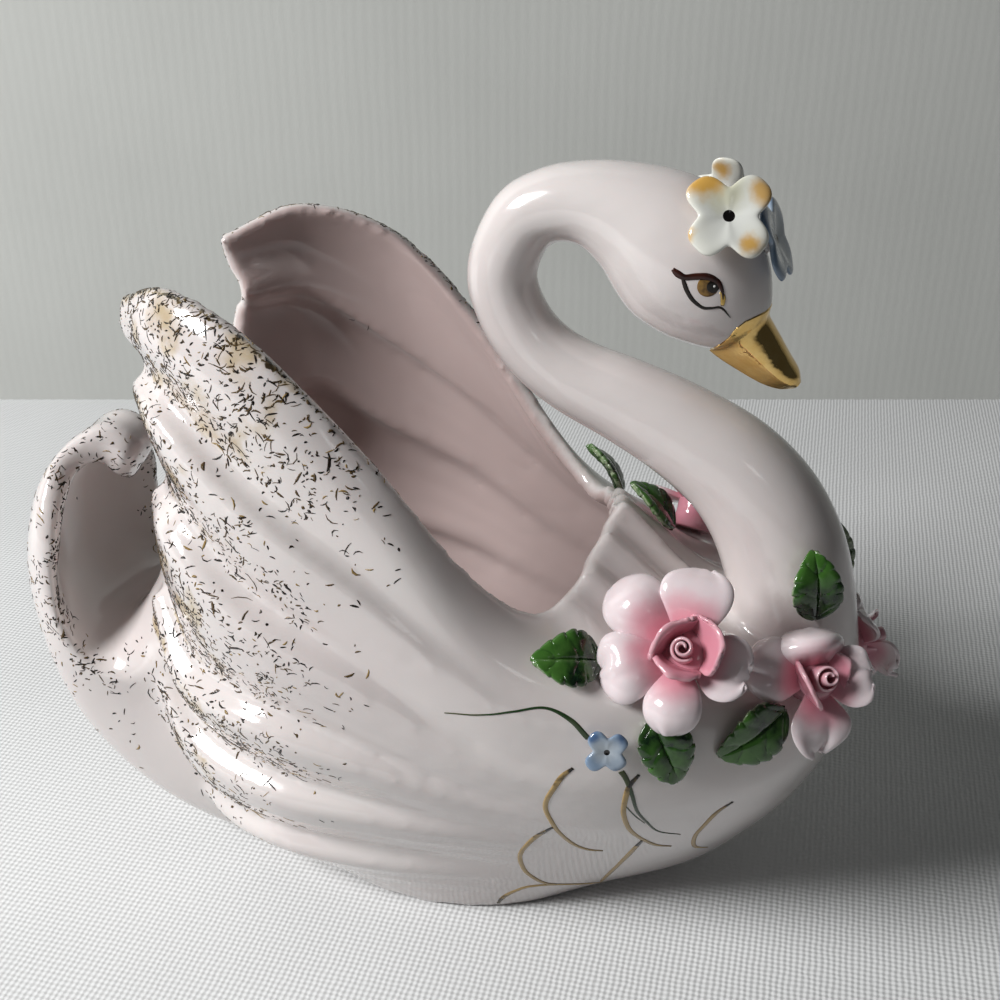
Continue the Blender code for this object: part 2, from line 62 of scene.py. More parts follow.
# Lines of the near half, each from the breast back to the wing's trailing edge, in millimetres
RIM = [(34, 0, 88), (31.5, 11, 84.5), (29, 21, 80.7), (23, 28, 78.8), (12.5, 34, 89),
       (-3, 37, 109.5), (-22, 37.5, 127.5), (-41, 31, 134), (-55.5, 20.5, 128.5)]
SHOULDER = [(54, 0, 70), (51, 12, 70.5), (43, 23, 71.5), (31, 32, 73), (15, 38.5, 81),
            (-3, 40.8, 99), (-23, 40, 114.5), (-41.5, 33, 123.5), (-54, 21.5, 121.5)]
RIDGE_1 = [(77, 0, 64.5), (72, 16, 64), (60.5, 27, 64.5), (43, 36, 66), (22, 42, 69),
           (-6, 43, 90.5), (-25, 41.1, 103.3), (-42, 34, 114.5), (-53, 22, 115.5)]
RIDGE_2 = [(81.5, 0, 50), (76.5, 16, 50.5), (64, 28.5, 51), (43, 38, 52), (20, 42.2, 55.5),
           (-6, 44, 72), (-26, 42, 82), (-42, 35, 93), (-52.5, 20.5, 93)]
RIDGE_3 = [(77, 0, 36), (72, 14.5, 36.5), (59.5, 25.5, 37.5), (38, 34.5, 38.5), (16, 39.3, 44),
           (-6, 42.6, 52.5), (-26, 41.3, 57.6), (-45, 32, 59), (-55, 20.5, 69)]
RIDGE_4 = [(68.5, 0, 21.5), (63, 12.5, 22.5), (51.5, 22, 24.5), (33, 30, 28.5), (12, 36, 33),
           (-8, 38.6, 36.7), (-27, 37.3, 38.3), (-46, 29.5, 41), (-58, 19.5, 54)]
RIDGE_5 = [(56, 0, 7.5), (51, 9, 8.5), (41, 17, 11), (26, 25, 15), (9, 30, 18),
           (-9, 32.5, 19), (-29, 32, 19.8), (-47, 24.5, 19.5), (-57, 18.5, 31)]

# Lines of the tail, each from inside the bowl back, up and over to the curled tip
TAIL_TIP = (-70.5, 0, 80)
TAIL_KEEL = [(-30, 0, 1.2), (-45, 0, 2.5), (-60, 0, 5.5), (-73, 0, 12), (-83, 0, 24), (-89.5, 0, 42),
             (-92.3, 0, 62), (-87.5, 0, 80), (-80.5, 0, 90), (-72.5, 0, 94.5), (-66, 0, 90), TAIL_TIP]
TAIL_BILGE = [(-31, 16, 2.5), (-45, 18, 6), (-59, 19, 12), (-71, 18.5, 20), (-80, 18, 31),
              (-86, 17, 46), (-88.5, 15.5, 64), (-86, 12, 81), (-80, 7, 91), (-72, 4.5, 94.5),
              (-66, 4, 90), TAIL_TIP]
TAIL_FLANK = [(-40, 26, 35), (-49, 23.5, 36), (-59, 22, 38), (-69, 22.5, 41), (-76.5, 23, 47),
              (-80.5, 23.3, 60), (-81, 22, 76), (-80.3, 17, 85.5), (-78.5, 10.5, 90.5), (-72, 7, 92),
              (-67.5, 6, 87.5), TAIL_TIP]
TAIL_LIP = [(-44, 29.5, 66), (-50, 24.2, 66), (-57, 22, 54), (-65.5, 22, 47.5), (-73.5, 22.6, 49.5),
            (-78, 22.4, 62), (-76.5, 20, 75.5), (-76.8, 15, 82.8), (-76, 9.5, 86.5), (-72.8, 6.3, 86.5),
            (-70.5, 5.5, 84), TAIL_TIP]
TAIL_DISH = [(-47, 16, 74), (-54, 14, 77), (-61, 13, 63), (-69, 12.5, 53), (-77.5, 12.5, 53.5),
             (-83, 12.5, 62.5), (-84.5, 11, 73.5), (-82.5, 8, 82), (-78.5, 5.5, 87), (-74.5, 4.5, 87.5),
             (-72.5, 4, 84.5), TAIL_TIP]
TAIL_DECK = [(-48, 0, 72), (-55, 0, 75), (-62.5, 0, 62), (-70, 0, 53), (-79, 0, 52.5), (-85.5, 0, 61),
             (-87, 0, 73), (-84.5, 0, 82.5), (-79, 0, 88.5), (-74, 0, 88.5), (-73, 0, 84.5), TAIL_TIP]

# Neck and head, each ring as (x, z, radius in the middle plane, half width)
NECK_RINGS = [(68.5, 56, 14.5, 15), (68.5, 66, 12.4, 12.6), (67.3, 74, 12.0, 12.0),
              (64.8, 82.5, 11.8, 11.4), (60.3, 91, 11.2, 10.6), (53.5, 98.3, 10.2, 9.8),
              (44.0, 104.3, 9.0, 9.0), (34.0, 109.0, 8.0, 8.2), (24.6, 112.8, 7.1, 7.6),
              (17.3, 117.6, 6.6, 7.0), (12.4, 124.2, 6.4, 6.7), (10.3, 132.2, 6.4, 6.6),
              (13.9, 141.3, 6.4, 6.7), (19.2, 144.6, 6.6, 7.0), (25.5, 145.3, 7.4, 7.6),
              (32.0, 143.6, 9.6, 9.0), (38.0, 140.4, 12.2, 10.8), (43.6, 136.0, 13.2, 11.6),
              (48.4, 131.2, 11.6, 10.4), (52.0, 127.2, 8.6, 8.0), (54.4, 124.4, 5.6, 5.4)]


def curve_weights(places, count):
    """Share of each control point in the points of a smooth curve at the given places."""
    places = np.asarray(places, float)
    start = np.clip(places.astype(int), 0, count - 2)
    part = places - start
    shares = [0.5 * (-part + 2 * part ** 2 - part ** 3), 0.5 * (2 - 5 * part ** 2 + 3 * part ** 3),
              0.5 * (part + 4 * part ** 2 - 3 * part ** 3), 0.5 * (-part ** 2 + part ** 3)]
    weights = np.zeros((len(places), count))
    for row in range(len(places)):
        for step, share in zip((-1, 0, 1, 2), shares):
            index = start[row] + step
            if index < 0:
                weights[row, 0] += 2 * share[row]
                weights[row, 1] -= share[row]
            elif index >= count:
                weights[row, count - 1] += 2 * share[row]
                weights[row, count - 2] -= share[row]
            else:
                weights[row, index] += share[row]
    return weights


def smooth_step(low, high, value):
    part = np.clip((np.asarray(value, float) - low) / (high - low), 0, 1)
    return part * part * (3 - 2 * part)


def wing_skin(rows, columns, depth, inset):
    """Points of the near half of the fluted skin, at lines and stations, moved in by the inset."""
    angles = [FOOT_SWEEP * math.pi * station / 8 for station in range(9)]
    keel = [(FOOT_HALF_LENGTH * math.cos(angle), 0, 0) for angle in angles]
    foot = [(FOOT_HALF_LENGTH * math.cos(angle), FOOT_HALF_WIDTH * math.sin(angle), 0) for angle in angles]
    lines = np.array([keel, foot, RIDGE_5, RIDGE_4, RIDGE_3, RIDGE_2, RIDGE_1, SHOULDER, RIM], float)
    across = np.einsum("cs,lsk->lck", curve_weights(columns, 9), lines)
    low = np.clip(rows, 0, 1)[:, None, None]
    ground = across[0] * (1 - low) + across[1] * low
    risen = np.einsum("rl,lck->rck", curve_weights(np.maximum(rows - 1, 0), 8), across[1:])
    skin = np.where((rows <= 1)[:, None, None], ground, risen)
    along = np.gradient(skin, axis=1)
    ahead = along / np.maximum(np.linalg.norm(along, axis=2, keepdims=True), 1e-9)
    outward = np.cross(np.gradient(skin, axis=0), along)
    outward /= np.maximum(np.linalg.norm(outward, axis=2, keepdims=True), 1e-9)
    outward *= np.sign(outward[:, :, 1:2] + 1e-9)
    outward[:, 0, 1] = 0
    outward[0] = outward[1] = (0, 0, -1)
    fraction = rows - np.floor(rows)
    belly = 2 * np.sin(0.5 * np.pi * np.clip(fraction / FLUTE_CREST, 0, 1)) ** 1.2 - 1
    groove = np.cos(np.pi * np.clip((fraction - FLUTE_CREST) / (1 - FLUTE_CREST), 0, 1))
    height = np.where(fraction <= FLUTE_CREST, belly, groove) * np.clip(rows - 1, 0, 1)
    roll = (rows - FLUTES) / 2
    height = np.where(rows >= FLUTES, 0.8 * np.sin(1.5 * np.pi * roll - 0.5 * np.pi), height)
    lobe = np.where((rows >= 1) & (rows < FLUTES), np.sin(np.pi * np.clip(fraction / 0.9, 0, 1)), 0)
    run = smooth_step(3.0, 6.5, columns) * (1 - FLUTE_FADE * smooth_step(7.0, 8.0, columns))
    fluting = height[:, None] * run[None, :] * depth
    ribs = np.cos(2 * np.pi * 4 * fraction)[:, None] * RIB_DEPTH * (depth > 1)
    ribs = ribs * (smooth_step(2.6, 4.2, columns) * smooth_step(7.6, 5.0, columns))[None, :]
    ribs = ribs * ((rows > 1.2) & (rows < FLUTES))[:, None]
    fold = np.cos(2 * np.pi * COLLAR_FOLDS * columns / 4) * smooth_step(3.2, 1.5, columns)
    fold = fold[None, :] * smooth_step(6.0, 7.6, rows)[:, None] * COLLAR_FOLD_DEPTH
    skin = skin + outward * (fluting + ribs + fold - inset)[:, :, None]
    skin = skin + ahead * (LOBE_REACH * lobe[:, None] * smooth_step(7.0, 8.0, columns)[None, :])[:, :, None]
    if not inset:
        skin[0:2, :, 2] = 0
    skin[:, 0, 1] = 0
    return skin


def grid_faces(rows, columns, start=0, around=False):
    corner = start + np.arange(rows - 1)[:, None] * columns + np.arange(columns if around else columns - 1)
    beside = start + np.arange(rows - 1)[:, None] * columns + (np.arange(corner.shape[1]) + 1) % columns
    faces = np.stack([corner, corner + columns, beside + columns, beside], axis=-1)
    return faces.reshape(-1, 4).tolist()


def tube_faces(rows, count, start=0):
    """Faces of a closed tube of rings: its skin, then its first end and its last."""
    first = list(range(start, start + count))
    last = [corner + count * (rows - 1) for corner in first]
    return grid_faces(rows, count, start=start, around=True) + [first[::-1], last]


def solid(name, points, faces, **marks):
    """Closed mesh from points in millimetres, its double points welded and its faces turned outward."""
    mesh = bpy.data.meshes.new(name)
    shape = bmesh.new()
    layers = [(shape.verts.layers.float.new(key), np.asarray(values, float)) for key, values in marks.items()]
    made = [shape.verts.new(point) for point in np.asarray(points, float) * MM]
    for layer, values in layers:
        for corner, value in zip(made, values):
            corner[layer] = value
    for face in faces:
        shape.faces.new([made[index] for index in face])
    bmesh.ops.remove_doubles(shape, verts=shape.verts, dist=1e-6)
    bmesh.ops.dissolve_degenerate(shape, edges=shape.edges, dist=1e-7)
    bmesh.ops.recalc_face_normals(shape, faces=shape.faces)
    shape.to_mesh(mesh)
    shape.free()
    item = bpy.data.objects.new(name, mesh)
    bpy.context.scene.collection.objects.link(item)
    return item


def lofted(name, rings):
    return solid(name, np.vstack(rings), tube_faces(len(rings), len(rings[0])))


def make_shell():
    """Both wings and the belly as one closed wall, joined skin to skin round the rim and trailing edge."""
    rows = np.concatenate([[0.0], np.arange(1, 8.001, 0.05)])
    columns = np.arange(0, 8.001, 0.05)
    outer = wing_skin(rows, columns, FLUTE_DEPTH, 0.0)
    inner = wing_skin(rows, columns, INNER_FLUTE_SHARE * FLUTE_DEPTH, WALL)
    far = (1, -1, 1)
    points = np.vstack([grid.reshape(-1, 3) for grid in (outer, inner, outer * far, inner * far)])
    height, width = len(rows), len(columns)
    count = height * width
    faces = []
    for skin in range(4):
        faces += grid_faces(height, width, start=skin * count)
    edge = [(height - 1) * width + column for column in range(width)]
    edge += [row * width + width - 1 for row in range(height - 2, -1, -1)]
    for side in (0, 2 * count):
        for here, there in zip(edge, edge[1:]):
            faces.append([side + here, side + there, side + count + there, side + count + here])
    return solid("shell", points, faces)


def tail_rings(places, segments, inset):
    lines = np.array([TAIL_KEEL, TAIL_BILGE, TAIL_FLANK, TAIL_LIP, TAIL_DISH, TAIL_DECK], float)
    stations = np.einsum("ps,lsk->plk", curve_weights(places, 12), lines)
    rings = []
    for near in stations:
        closed = np.vstack([near, (near * (1, -1, 1))[-2:0:-1]])
        wrapped = np.vstack([closed[-2:], closed, closed[:3]])
        points = curve_weights(2 + np.arange(len(closed) * segments) / segments, len(wrapped)) @ wrapped
        away = points - points.mean(axis=0)
        rings.append(points - away * inset / np.linalg.norm(away, axis=1, keepdims=True))
    return rings


def tube_rings(stations, places, sides):
    """Rings square to a spine that lies in the middle plane."""
    stations = np.asarray(stations, float)
    rings = []
    spine = curve_weights(places, len(stations)) @ stations
    way = np.gradient(spine[:, :2], axis=0)
    way /= np.linalg.norm(way, axis=1, keepdims=True)
    angles = 2 * np.pi * np.arange(sides) / sides
    for (x, z, radius, half_width), (along_x, along_z) in zip(spine, way):
        up = np.array((-along_z, 0, along_x))
        centre = np.array((x, 0, z))
        rings.append(centre + np.outer(np.cos(angles) * radius, up)
                     + np.outer(np.sin(angles) * half_width, (0, 1, 0)))
    return rings


def finished(item, modifiers):
    """The object's mesh after its modifiers, which are then gone."""
    for kind, values in modifiers:
        step = item.modifiers.new(kind.lower(), kind)
        for key, value in values.items():
            setattr(step, key, value)
    bpy.context.view_layer.update()
    mesh = bpy.data.meshes.new_from_object(item.evaluated_get(bpy.context.evaluated_depsgraph_get()))
    item.modifiers.clear()
    item.data = mesh
    return item


casting = make_shell()
tail = lofted("tail", tail_rings(np.linspace(0, 10.9, 130), 14, 0.0))
hollow = lofted("hollow", tail_rings(np.linspace(-0.3, 3.2, 24), 4, WALL))
neck = lofted("neck", tube_rings(NECK_RINGS, np.linspace(0, 20, 200), 64))
with bpy.context.temp_override(active_object=casting, selected_editable_objects=[casting, tail, neck]):
    bpy.ops.object.join()
finished(casting, [("REMESH", {"mode": "VOXEL", "voxel_size": VOXEL * MM}),
                   ("BOOLEAN", {"operation": "DIFFERENCE", "object": hollow, "solver": "EXACT"}),
                   ("REMESH", {"mode": "VOXEL", "voxel_size": VOXEL * MM}),
                   ("SMOOTH", {"factor": 0.5, "iterations": 5})])
bpy.data.objects.remove(hollow)
casting.name = "casting"
casting.data.shade_smooth()


def shader_material(name):
    """New material with its Principled shader and its node tree."""
    made = bpy.data.materials.new(name)
    made.use_nodes = True
    return made, made.node_tree.nodes["Principled BSDF"], made.node_tree


def put(tree, kind, inputs=None, **settings):
    """New node with its settings, each input given as a value or as the socket that feeds it."""
    made = tree.nodes.new(kind)
    for key, value in settings.items():
        setattr(made, key, value)
    for key, value in (inputs or {}).items():
        if isinstance(value, bpy.types.NodeSocket):
            tree.links.new(value, made.inputs[key])
        else:
            made.inputs[key].default_value = value
    return made


def blend(tree, share, first, second):
    return put(tree, "ShaderNodeMix", {0: share, 6: first, 7: second}, data_type="RGBA").outputs[2]


def attribute(tree, name):
    return put(tree, "ShaderNodeAttribute", attribute_name=name).outputs["Fac"]


def sums(tree, operation, first, second, third=0.0):
    return put(tree, "ShaderNodeMath", {0: first, 1: second, 2: third}, operation=operation).outputs[0]


def eased(tree, value, low, high):
    """Smooth share from none at `low` to one at `high`."""
    return put(tree, "ShaderNodeMapRange", {"Value": value, "From Min": low, "From Max": high},
               interpolation_type="SMOOTHSTEP").outputs[0]


def effect(name, inputs, output, kind="NodeSocketFloat"):
    """Empty node group for one look that several glazes share."""
    group = bpy.data.node_groups.new(name, "ShaderNodeTree")
    for key, value in inputs.items():
        group.interface.new_socket(key, in_out="INPUT", socket_type="NodeSocketFloat").default_value = value
    group.interface.new_socket(output, in_out="OUTPUT", socket_type=kind)
    return group, group.nodes.new("NodeGroupInput"), group.nodes.new("NodeGroupOutput")


def use(tree, group, **inputs):
    made = put(tree, "ShaderNodeGroup", node_tree=group)
    for key, value in inputs.items():
        if isinstance(value, bpy.types.NodeSocket):
            tree.links.new(value, made.inputs[key])
        else:
            made.inputs[key].default_value = value
    return made.outputs[0]


def noise(tree, scale, detail=2.0):
    place = put(tree, "ShaderNodeTexCoord").outputs["Object"]
    return put(tree, "ShaderNodeTexNoise", {"Vector": place, "Scale": scale, "Detail": detail}).outputs["Fac"]


# Slow swells left in a dipped glaze
glaze_swell, taken, given = effect("glaze_swell", {"Scale": 90.0, "Strength": 0.12}, "Normal",
                                   "NodeSocketVector")
swell = noise(glaze_swell, taken.outputs["Scale"])
bump = put(glaze_swell, "ShaderNodeBump",
           {"Height": swell, "Strength": taken.outputs["Strength"], "Distance": 0.001})
glaze_swell.links.new(bump.outputs["Normal"], given.inputs[0])

# Soft clouds of thicker and thinner colour
colour_cloud, taken, given = effect("colour_cloud", {"Scale": 60.0, "Low": 0.35, "High": 0.65}, "Share")
clouds = put(colour_cloud, "ShaderNodeMapRange",
             {"Value": noise(colour_cloud, taken.outputs["Scale"], 3.0), "From Min": taken.outputs["Low"],
              "From Max": taken.outputs["High"]})
colour_cloud.links.new(clouds.outputs[0], given.inputs[0])

GLAZE_ROUGHNESS = 0.14
GLAZE_COAT = 0.6
GLAZE_COAT_ROUGHNESS = 0.03


def ceramic(name):
    """Glazed ware with the swells of its glaze, its colour still to be set."""
    made, shader, tree = shader_material(name)
    shader.inputs["Roughness"].default_value = GLAZE_ROUGHNESS
    shader.inputs["Coat Weight"].default_value = GLAZE_COAT
    shader.inputs["Coat Roughness"].default_value = GLAZE_COAT_ROUGHNESS
    tree.links.new(use(tree, glaze_swell), shader.inputs["Normal"])
    return made, shader, tree


def surface_tree(items):
    """Search tree of several objects' faces, in millimetres."""
    corners, sides = [], []
    for item in items:
        start = len(corners)
        corners += [vertex.co / MM for vertex in item.data.vertices]
        sides += [[start + index for index in face.vertices] for face in item.data.polygons]
    return BVHTree.FromPolygons(corners, sides)


def mark(item, name, values):
    """Named share at each corner of the object's mesh, for its glaze to read."""
    item.data.attributes.new(name, "FLOAT", "POINT").data.foreach_set("value", np.asarray(values, np.float32))


def curve_points(line, count):
    places = np.linspace(0, len(line) - 1, count)
    return curve_weights(places, len(line)) @ np.asarray(line, float)


def reach_to(spots, line):
    """Distance of each spot from a dense line of points, and how far along that line it is."""
    best = np.full(len(spots), 1e9)
    where = np.zeros(len(spots))
    for index, point in enumerate(line):
        away = np.linalg.norm(spots - point, axis=1)
        closer = away < best
        best[closer] = away[closer]
        where[closer] = index / (len(line) - 1)
    return best, where


# Foremost station the gilder's brush reached on each line of the wing, from the belly up to the rim
FLECK_REACH = [7.2, 6.3, 5.5, 4.9, 4.7, 4.7, 4.5, 4.3, 4.2]
LIP_FLECK_REACH = 3.4
CLUMP_SIZE = 7.0
# Share of the inside's pinker glaze and painted shade that is kept in the hollow of the curled tail
TAIL_DISH_PINK_AND_SHADE = 0.15
# Half width and front of the bowl, and the half width, back and foot of the neck within it
BOWL_HALF_WIDTH = 43
BOWL_FRONT = 48
NECK_HALF_WIDTH = 14
NECK_BACK = 2
NECK_FOOT = 84


def near_side(spots):
    """The spots with those of the far half mirrored onto the near one."""
    return np.column_stack([spots[:, 0], np.abs(spots[:, 1]), spots[:, 2]])


def wing_places(spots):
    """Line and station of the wing skin nearest each spot, and how far the spot is from it."""
    lines, stations = np.arange(1, 8.001, 0.125), np.arange(0, 8.001, 0.125)
    near = wing_skin(lines, stations, FLUTE_DEPTH, 0.0).reshape(-1, 3)
    skin = BVHTree.FromPolygons([Vector(point) for point in near], grid_faces(len(lines), len(stations)))
    found = [skin.find_nearest(Vector((x, -abs(y), z)) * Vector((1, -1, 1)))[2:] for x, y, z in spots]
    index, away = np.array(found).T
    width = len(stations) - 1
    return lines[(index // width).astype(int)], stations[(index % width).astype(int)], away


def clumps(spots, size):
    """Slow wander of each spot's density, from none to one."""
    drift = np.array([noise_value(Vector(spot) / size) for spot in spots])
    return smooth_step(-0.35, 0.3, drift)


def wing_fleck_share(spots):
    """How thickly the gilder's brush marked each spot of the wings, from none to one."""
    line, station, away = wing_places(spots)
    first = np.interp(line, np.arange(9), FLECK_REACH)
    share = smooth_step(first, first + 1.5, station) * (0.6 + 0.4 * smooth_step(first + 0.8, 8.0, station))
    crest = np.exp(-(((line - np.floor(line)) - FLUTE_CREST) / 0.1) ** 2) * (line < FLUTES)
    share = share * (1 - 0.75 * crest) * (0.3 + 0.7 * clumps(spots, CLUMP_SIZE))
    edge = smooth_step(7.4, 7.95, line) * smooth_step(4.3, 6.2, station)
    share = np.maximum(share, 0.8 * edge)
    return share * smooth_step(2.2, 1.0, away)


def dish_share(spots):
    """How far each spot lies in the hollow of the curled tail rather than on its back."""
    near = near_side(spots)
    dish = np.vstack([curve_points(line, 80) for line in (TAIL_DISH, TAIL_DECK)])
    back = np.vstack([curve_points(line, 80) for line in (TAIL_KEEL, TAIL_BILGE, TAIL_FLANK)])
    return smooth_step(-2.0, 2.5, reach_to(near, back)[0] - reach_to(near, dish)[0])


def tail_fleck_share(spots):
    """How thickly the tail's lip and back are marked at each spot."""
    near = near_side(spots)
    away, place = reach_to(near, curve_points(TAIL_LIP, 120))
    lip = 0.9 * np.exp(-(away / LIP_FLECK_REACH) ** 2) * smooth_step(0.12, 0.25, place)
    back = 0.4 * np.exp(-away / 10.0) * smooth_step(-58, -70, spots[:, 0]) * (1 - dish_share(spots))
    outer = wing_places(spots)[2] > WALL
    return (lip + back) * outer * (0.2 + 0.8 * clumps(spots, CLUMP_SIZE))


def inside_pink_and_shade_share(spots):
    """How far each spot lies within the bowl or the curled tail, none on the outer skin, for its pinker glaze
    and painted shade.
    """
    side, height = np.abs(spots[:, 1]), spots[:, 2]
    neck = (side < NECK_HALF_WIDTH) & (spots[:, 0] > NECK_BACK) & (height > NECK_FOOT)
    within = (side < BOWL_HALF_WIDTH) & (spots[:, 0] < BOWL_FRONT) & ~neck
    bowl = smooth_step(1.4, 2.8, wing_places(spots)[2]) * within
    low = smooth_step(-36, -42, spots[:, 0]) * smooth_step(58, 48, height)
    curled = np.maximum(smooth_step(-50, -57, spots[:, 0]), low)
    return bowl * (1 - curled * (1 - TAIL_DISH_PINK_AND_SHADE * dish_share(spots)))


def edge_share(spots):
    """How near each spot is to the gilded edge of a wing or of the tail."""
    near = near_side(spots)
    away, place = reach_to(near, curve_points(RIM, 160))
    rim = np.exp(-(away / 1.5) ** 2) * smooth_step(0.5, 0.75, place)
    away, place = reach_to(near, curve_points(TAIL_LIP, 120))
    return np.maximum(rim, 0.55 * np.exp(-(away / 1.8) ** 2) * smooth_step(0.2, 0.4, place))


skin = np.array([vertex.co for vertex in casting.data.vertices]) / MM
mark(casting, "flecked", wing_fleck_share(skin))
mark(casting, "edge", edge_share(skin))
mark(casting, "inside", inside_pink_and_shade_share(skin))

porcelain, shader, tree = ceramic("blush_porcelain")
outer = blend(tree, use(tree, colour_cloud, Scale=28.0), (0.80, 0.745, 0.725, 1), (0.78, 0.71, 0.695, 1))
# Inside the bowl the ware is pinker and darker: partly a pinker glaze, partly painted shade in the hollow.
body_colour = blend(tree, attribute(tree, "inside"), outer, (0.62, 0.495, 0.475, 1))
patches = noise(tree, 420.0, 2.0)
smudge = sums(tree, "MULTIPLY", noise(tree, 150.0, 4.0), attribute(tree, "flecked"))
smudge = eased(tree, sums(tree, "MULTIPLY_ADD", patches, 0.18, smudge), 0.36, 0.62)
body_colour = blend(tree, sums(tree, "MULTIPLY", smudge, 0.7), body_colour, (0.50, 0.36, 0.15, 1))
grains = sums(tree, "MULTIPLY_ADD", noise(tree, 1100.0, 2.0), 0.6, sums(tree, "MULTIPLY", patches, 0.5))
gold_mask = eased(tree, sums(tree, "MULTIPLY_ADD", attribute(tree, "edge"), 0.42, grains), 0.84, 0.93)
gilt = blend(tree, eased(tree, patches, 0.4, 0.6), (0.24, 0.17, 0.06, 1), (0.06, 0.042, 0.02, 1))
tree.links.new(blend(tree, gold_mask, body_colour, gilt), shader.inputs["Base Color"])
shader.inputs["Subsurface Weight"].default_value = 0.1
shader.inputs["Subsurface Radius"].default_value = (0.004, 0.0025, 0.002)
shader.inputs["Subsurface Scale"].default_value = 1.0
casting.data.materials.append(porcelain)
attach(casting, "root")
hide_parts("swan_body")


def fired_gold(name, bright, dark, roughness):
    """Liquid bright gold, thinner and browner in clouds."""
    made, shader, tree = shader_material(name)
    colour = blend(tree, use(tree, colour_cloud, Scale=350.0), bright, dark)
    tree.links.new(colour, shader.inputs["Base Color"])
    shader.inputs["Metallic"].default_value = 1.0
    shader.inputs["Roughness"].default_value = roughness
    tree.links.new(use(tree, glaze_swell, Scale=420.0, Strength=0.1), shader.inputs["Normal"])
    return made


gold_lustre = fired_gold("gold_lustre", (0.80, 0.56, 0.22, 1), (0.74, 0.48, 0.16, 1), 0.07)
brushed_gold = fired_gold("brushed_gold", (0.72, 0.52, 0.2, 1), (0.45, 0.30, 0.09, 1), 0.25)

# The bill. Part of the casting, painted with liquid bright gold from a line across the face to the tip
# and fired again at a low heat, so it mirrors the room. A crease runs along each side at its widest.
BILL_RINGS = [(51.0, 126.6, 6.0, 5.4), (54.0, 123.8, 5.6, 5.0), (57.2, 120.8, 4.6, 4.4),
              (60.4, 117.9, 3.4, 4.0), (62.8, 116.2, 2.3, 3.2), (64.3, 115.2, 0.9, 1.5)]
BILL_ROOT = Vector((51.0, 0, 126.6))
BILL_WAY = Vector((0.731, 0, -0.682))
BILL_UP = Vector((0.682, 0, 0.731))
# Turn round the bill from its top and how far down it the gold begins there
GILDING_LINE = [(0, 3.6), (30, 3.0), (62, 1.3), (78, 1.2), (92, 1.7), (130, 1.8), (180, 2.4)]
GILDING_PROUD = 0.07
GILDING_DEPTH = 0.9
BILL_CLEARANCE = 9.0
THINNEST_BILL = 0.3
BILL_SMOOTHING = 5


def bill_profile(angle):
    """Shares of height and half width round the bill, round above and drawn in straight below."""
    turned = abs((angle + math.pi) % (2 * math.pi) - math.pi)
    way = 1 if math.sin(angle) >= 0 else -1
    if turned <= 0.5 * math.pi:
        return math.cos(turned) ** 0.9, way * math.sin(turned) ** 0.85
    under = (turned - 0.5 * math.pi) / (0.5 * math.pi)
    if under < 0.8:
        return -under / 0.8, way * (1 - 0.62 * under / 0.8)
    return -1.0, way * 0.38 * (1 - under) / 0.2


def bill_rings(sides):
    stations = np.asarray(BILL_RINGS, float)
    spine = curve_weights(np.linspace(0, len(stations) - 1, 60), len(stations)) @ stations
    rings = []
    for x, z, radius, half_width in spine:
        loop = []
        for side in range(sides):
            high, wide = bill_profile(2 * math.pi * side / sides)
            loop.append((x + BILL_UP.x * high * radius, wide * half_width, z + BILL_UP.z * high * radius))
        rings.append(np.array(loop))
    return rings


def make_bill(sides, steps):
    """Gold skin over the bill and the foot of the face, laid a hair proud of the casting."""
    core = lofted("bill_core", bill_rings(sides))
    face = surface_tree([casting, core])
    bpy.data.objects.remove(core)
    turns, starts = np.array(GILDING_LINE).T
    tip = (Vector((BILL_RINGS[-1][0], 0, BILL_RINGS[-1][1])) - BILL_ROOT).dot(BILL_WAY)
    places = np.empty((steps + 1, sides, 3))
    ways = np.empty((steps + 1, sides, 3))
    reach = np.empty((steps + 1, sides))
    for step in range(steps + 1):
        for side in range(sides):
            angle = 2 * math.pi * side / sides
            turned = math.degrees(abs((angle + math.pi) % (2 * math.pi) - math.pi))
            start = float(np.interp(turned, turns, starts))
            down = start + (tip - start) * math.sin(0.5 * math.pi * step / steps)
            place = BILL_ROOT + BILL_WAY * down
            away = BILL_UP * math.cos(angle) + Vector((0, math.sin(angle), 0))
            hit = face.ray_cast(place + away * BILL_CLEARANCE, -away)[0]
            places[step, side], ways[step, side] = place, away
            depth = THINNEST_BILL if hit is None else (hit - place).dot(away)
            reach[step, side] = max(depth, THINNEST_BILL)
    skin_reach = reach
    for _ in range(BILL_SMOOTHING):
        reach = 0.5 * reach + 0.25 * (np.roll(reach, 1, axis=1) + np.roll(reach, -1, axis=1))
        reach[1:-1] = 0.5 * reach[1:-1] + 0.25 * (reach[:-2] + reach[2:])
    reach = np.maximum(reach, skin_reach)
    outer = list(places + ways * (reach + GILDING_PROUD)[:, :, None])
    inner = list(places + ways * np.maximum(reach - GILDING_DEPTH, 0.05)[:, :, None])
    return lofted("gilded_bill", inner[-8::-1] + outer)


bill = make_bill(128, 72)
bill.data.shade_smooth()
bill.data.materials.append(gold_lustre)
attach(bill, "root")
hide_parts("swan_body")
glaze = surface_tree([casting, bill])
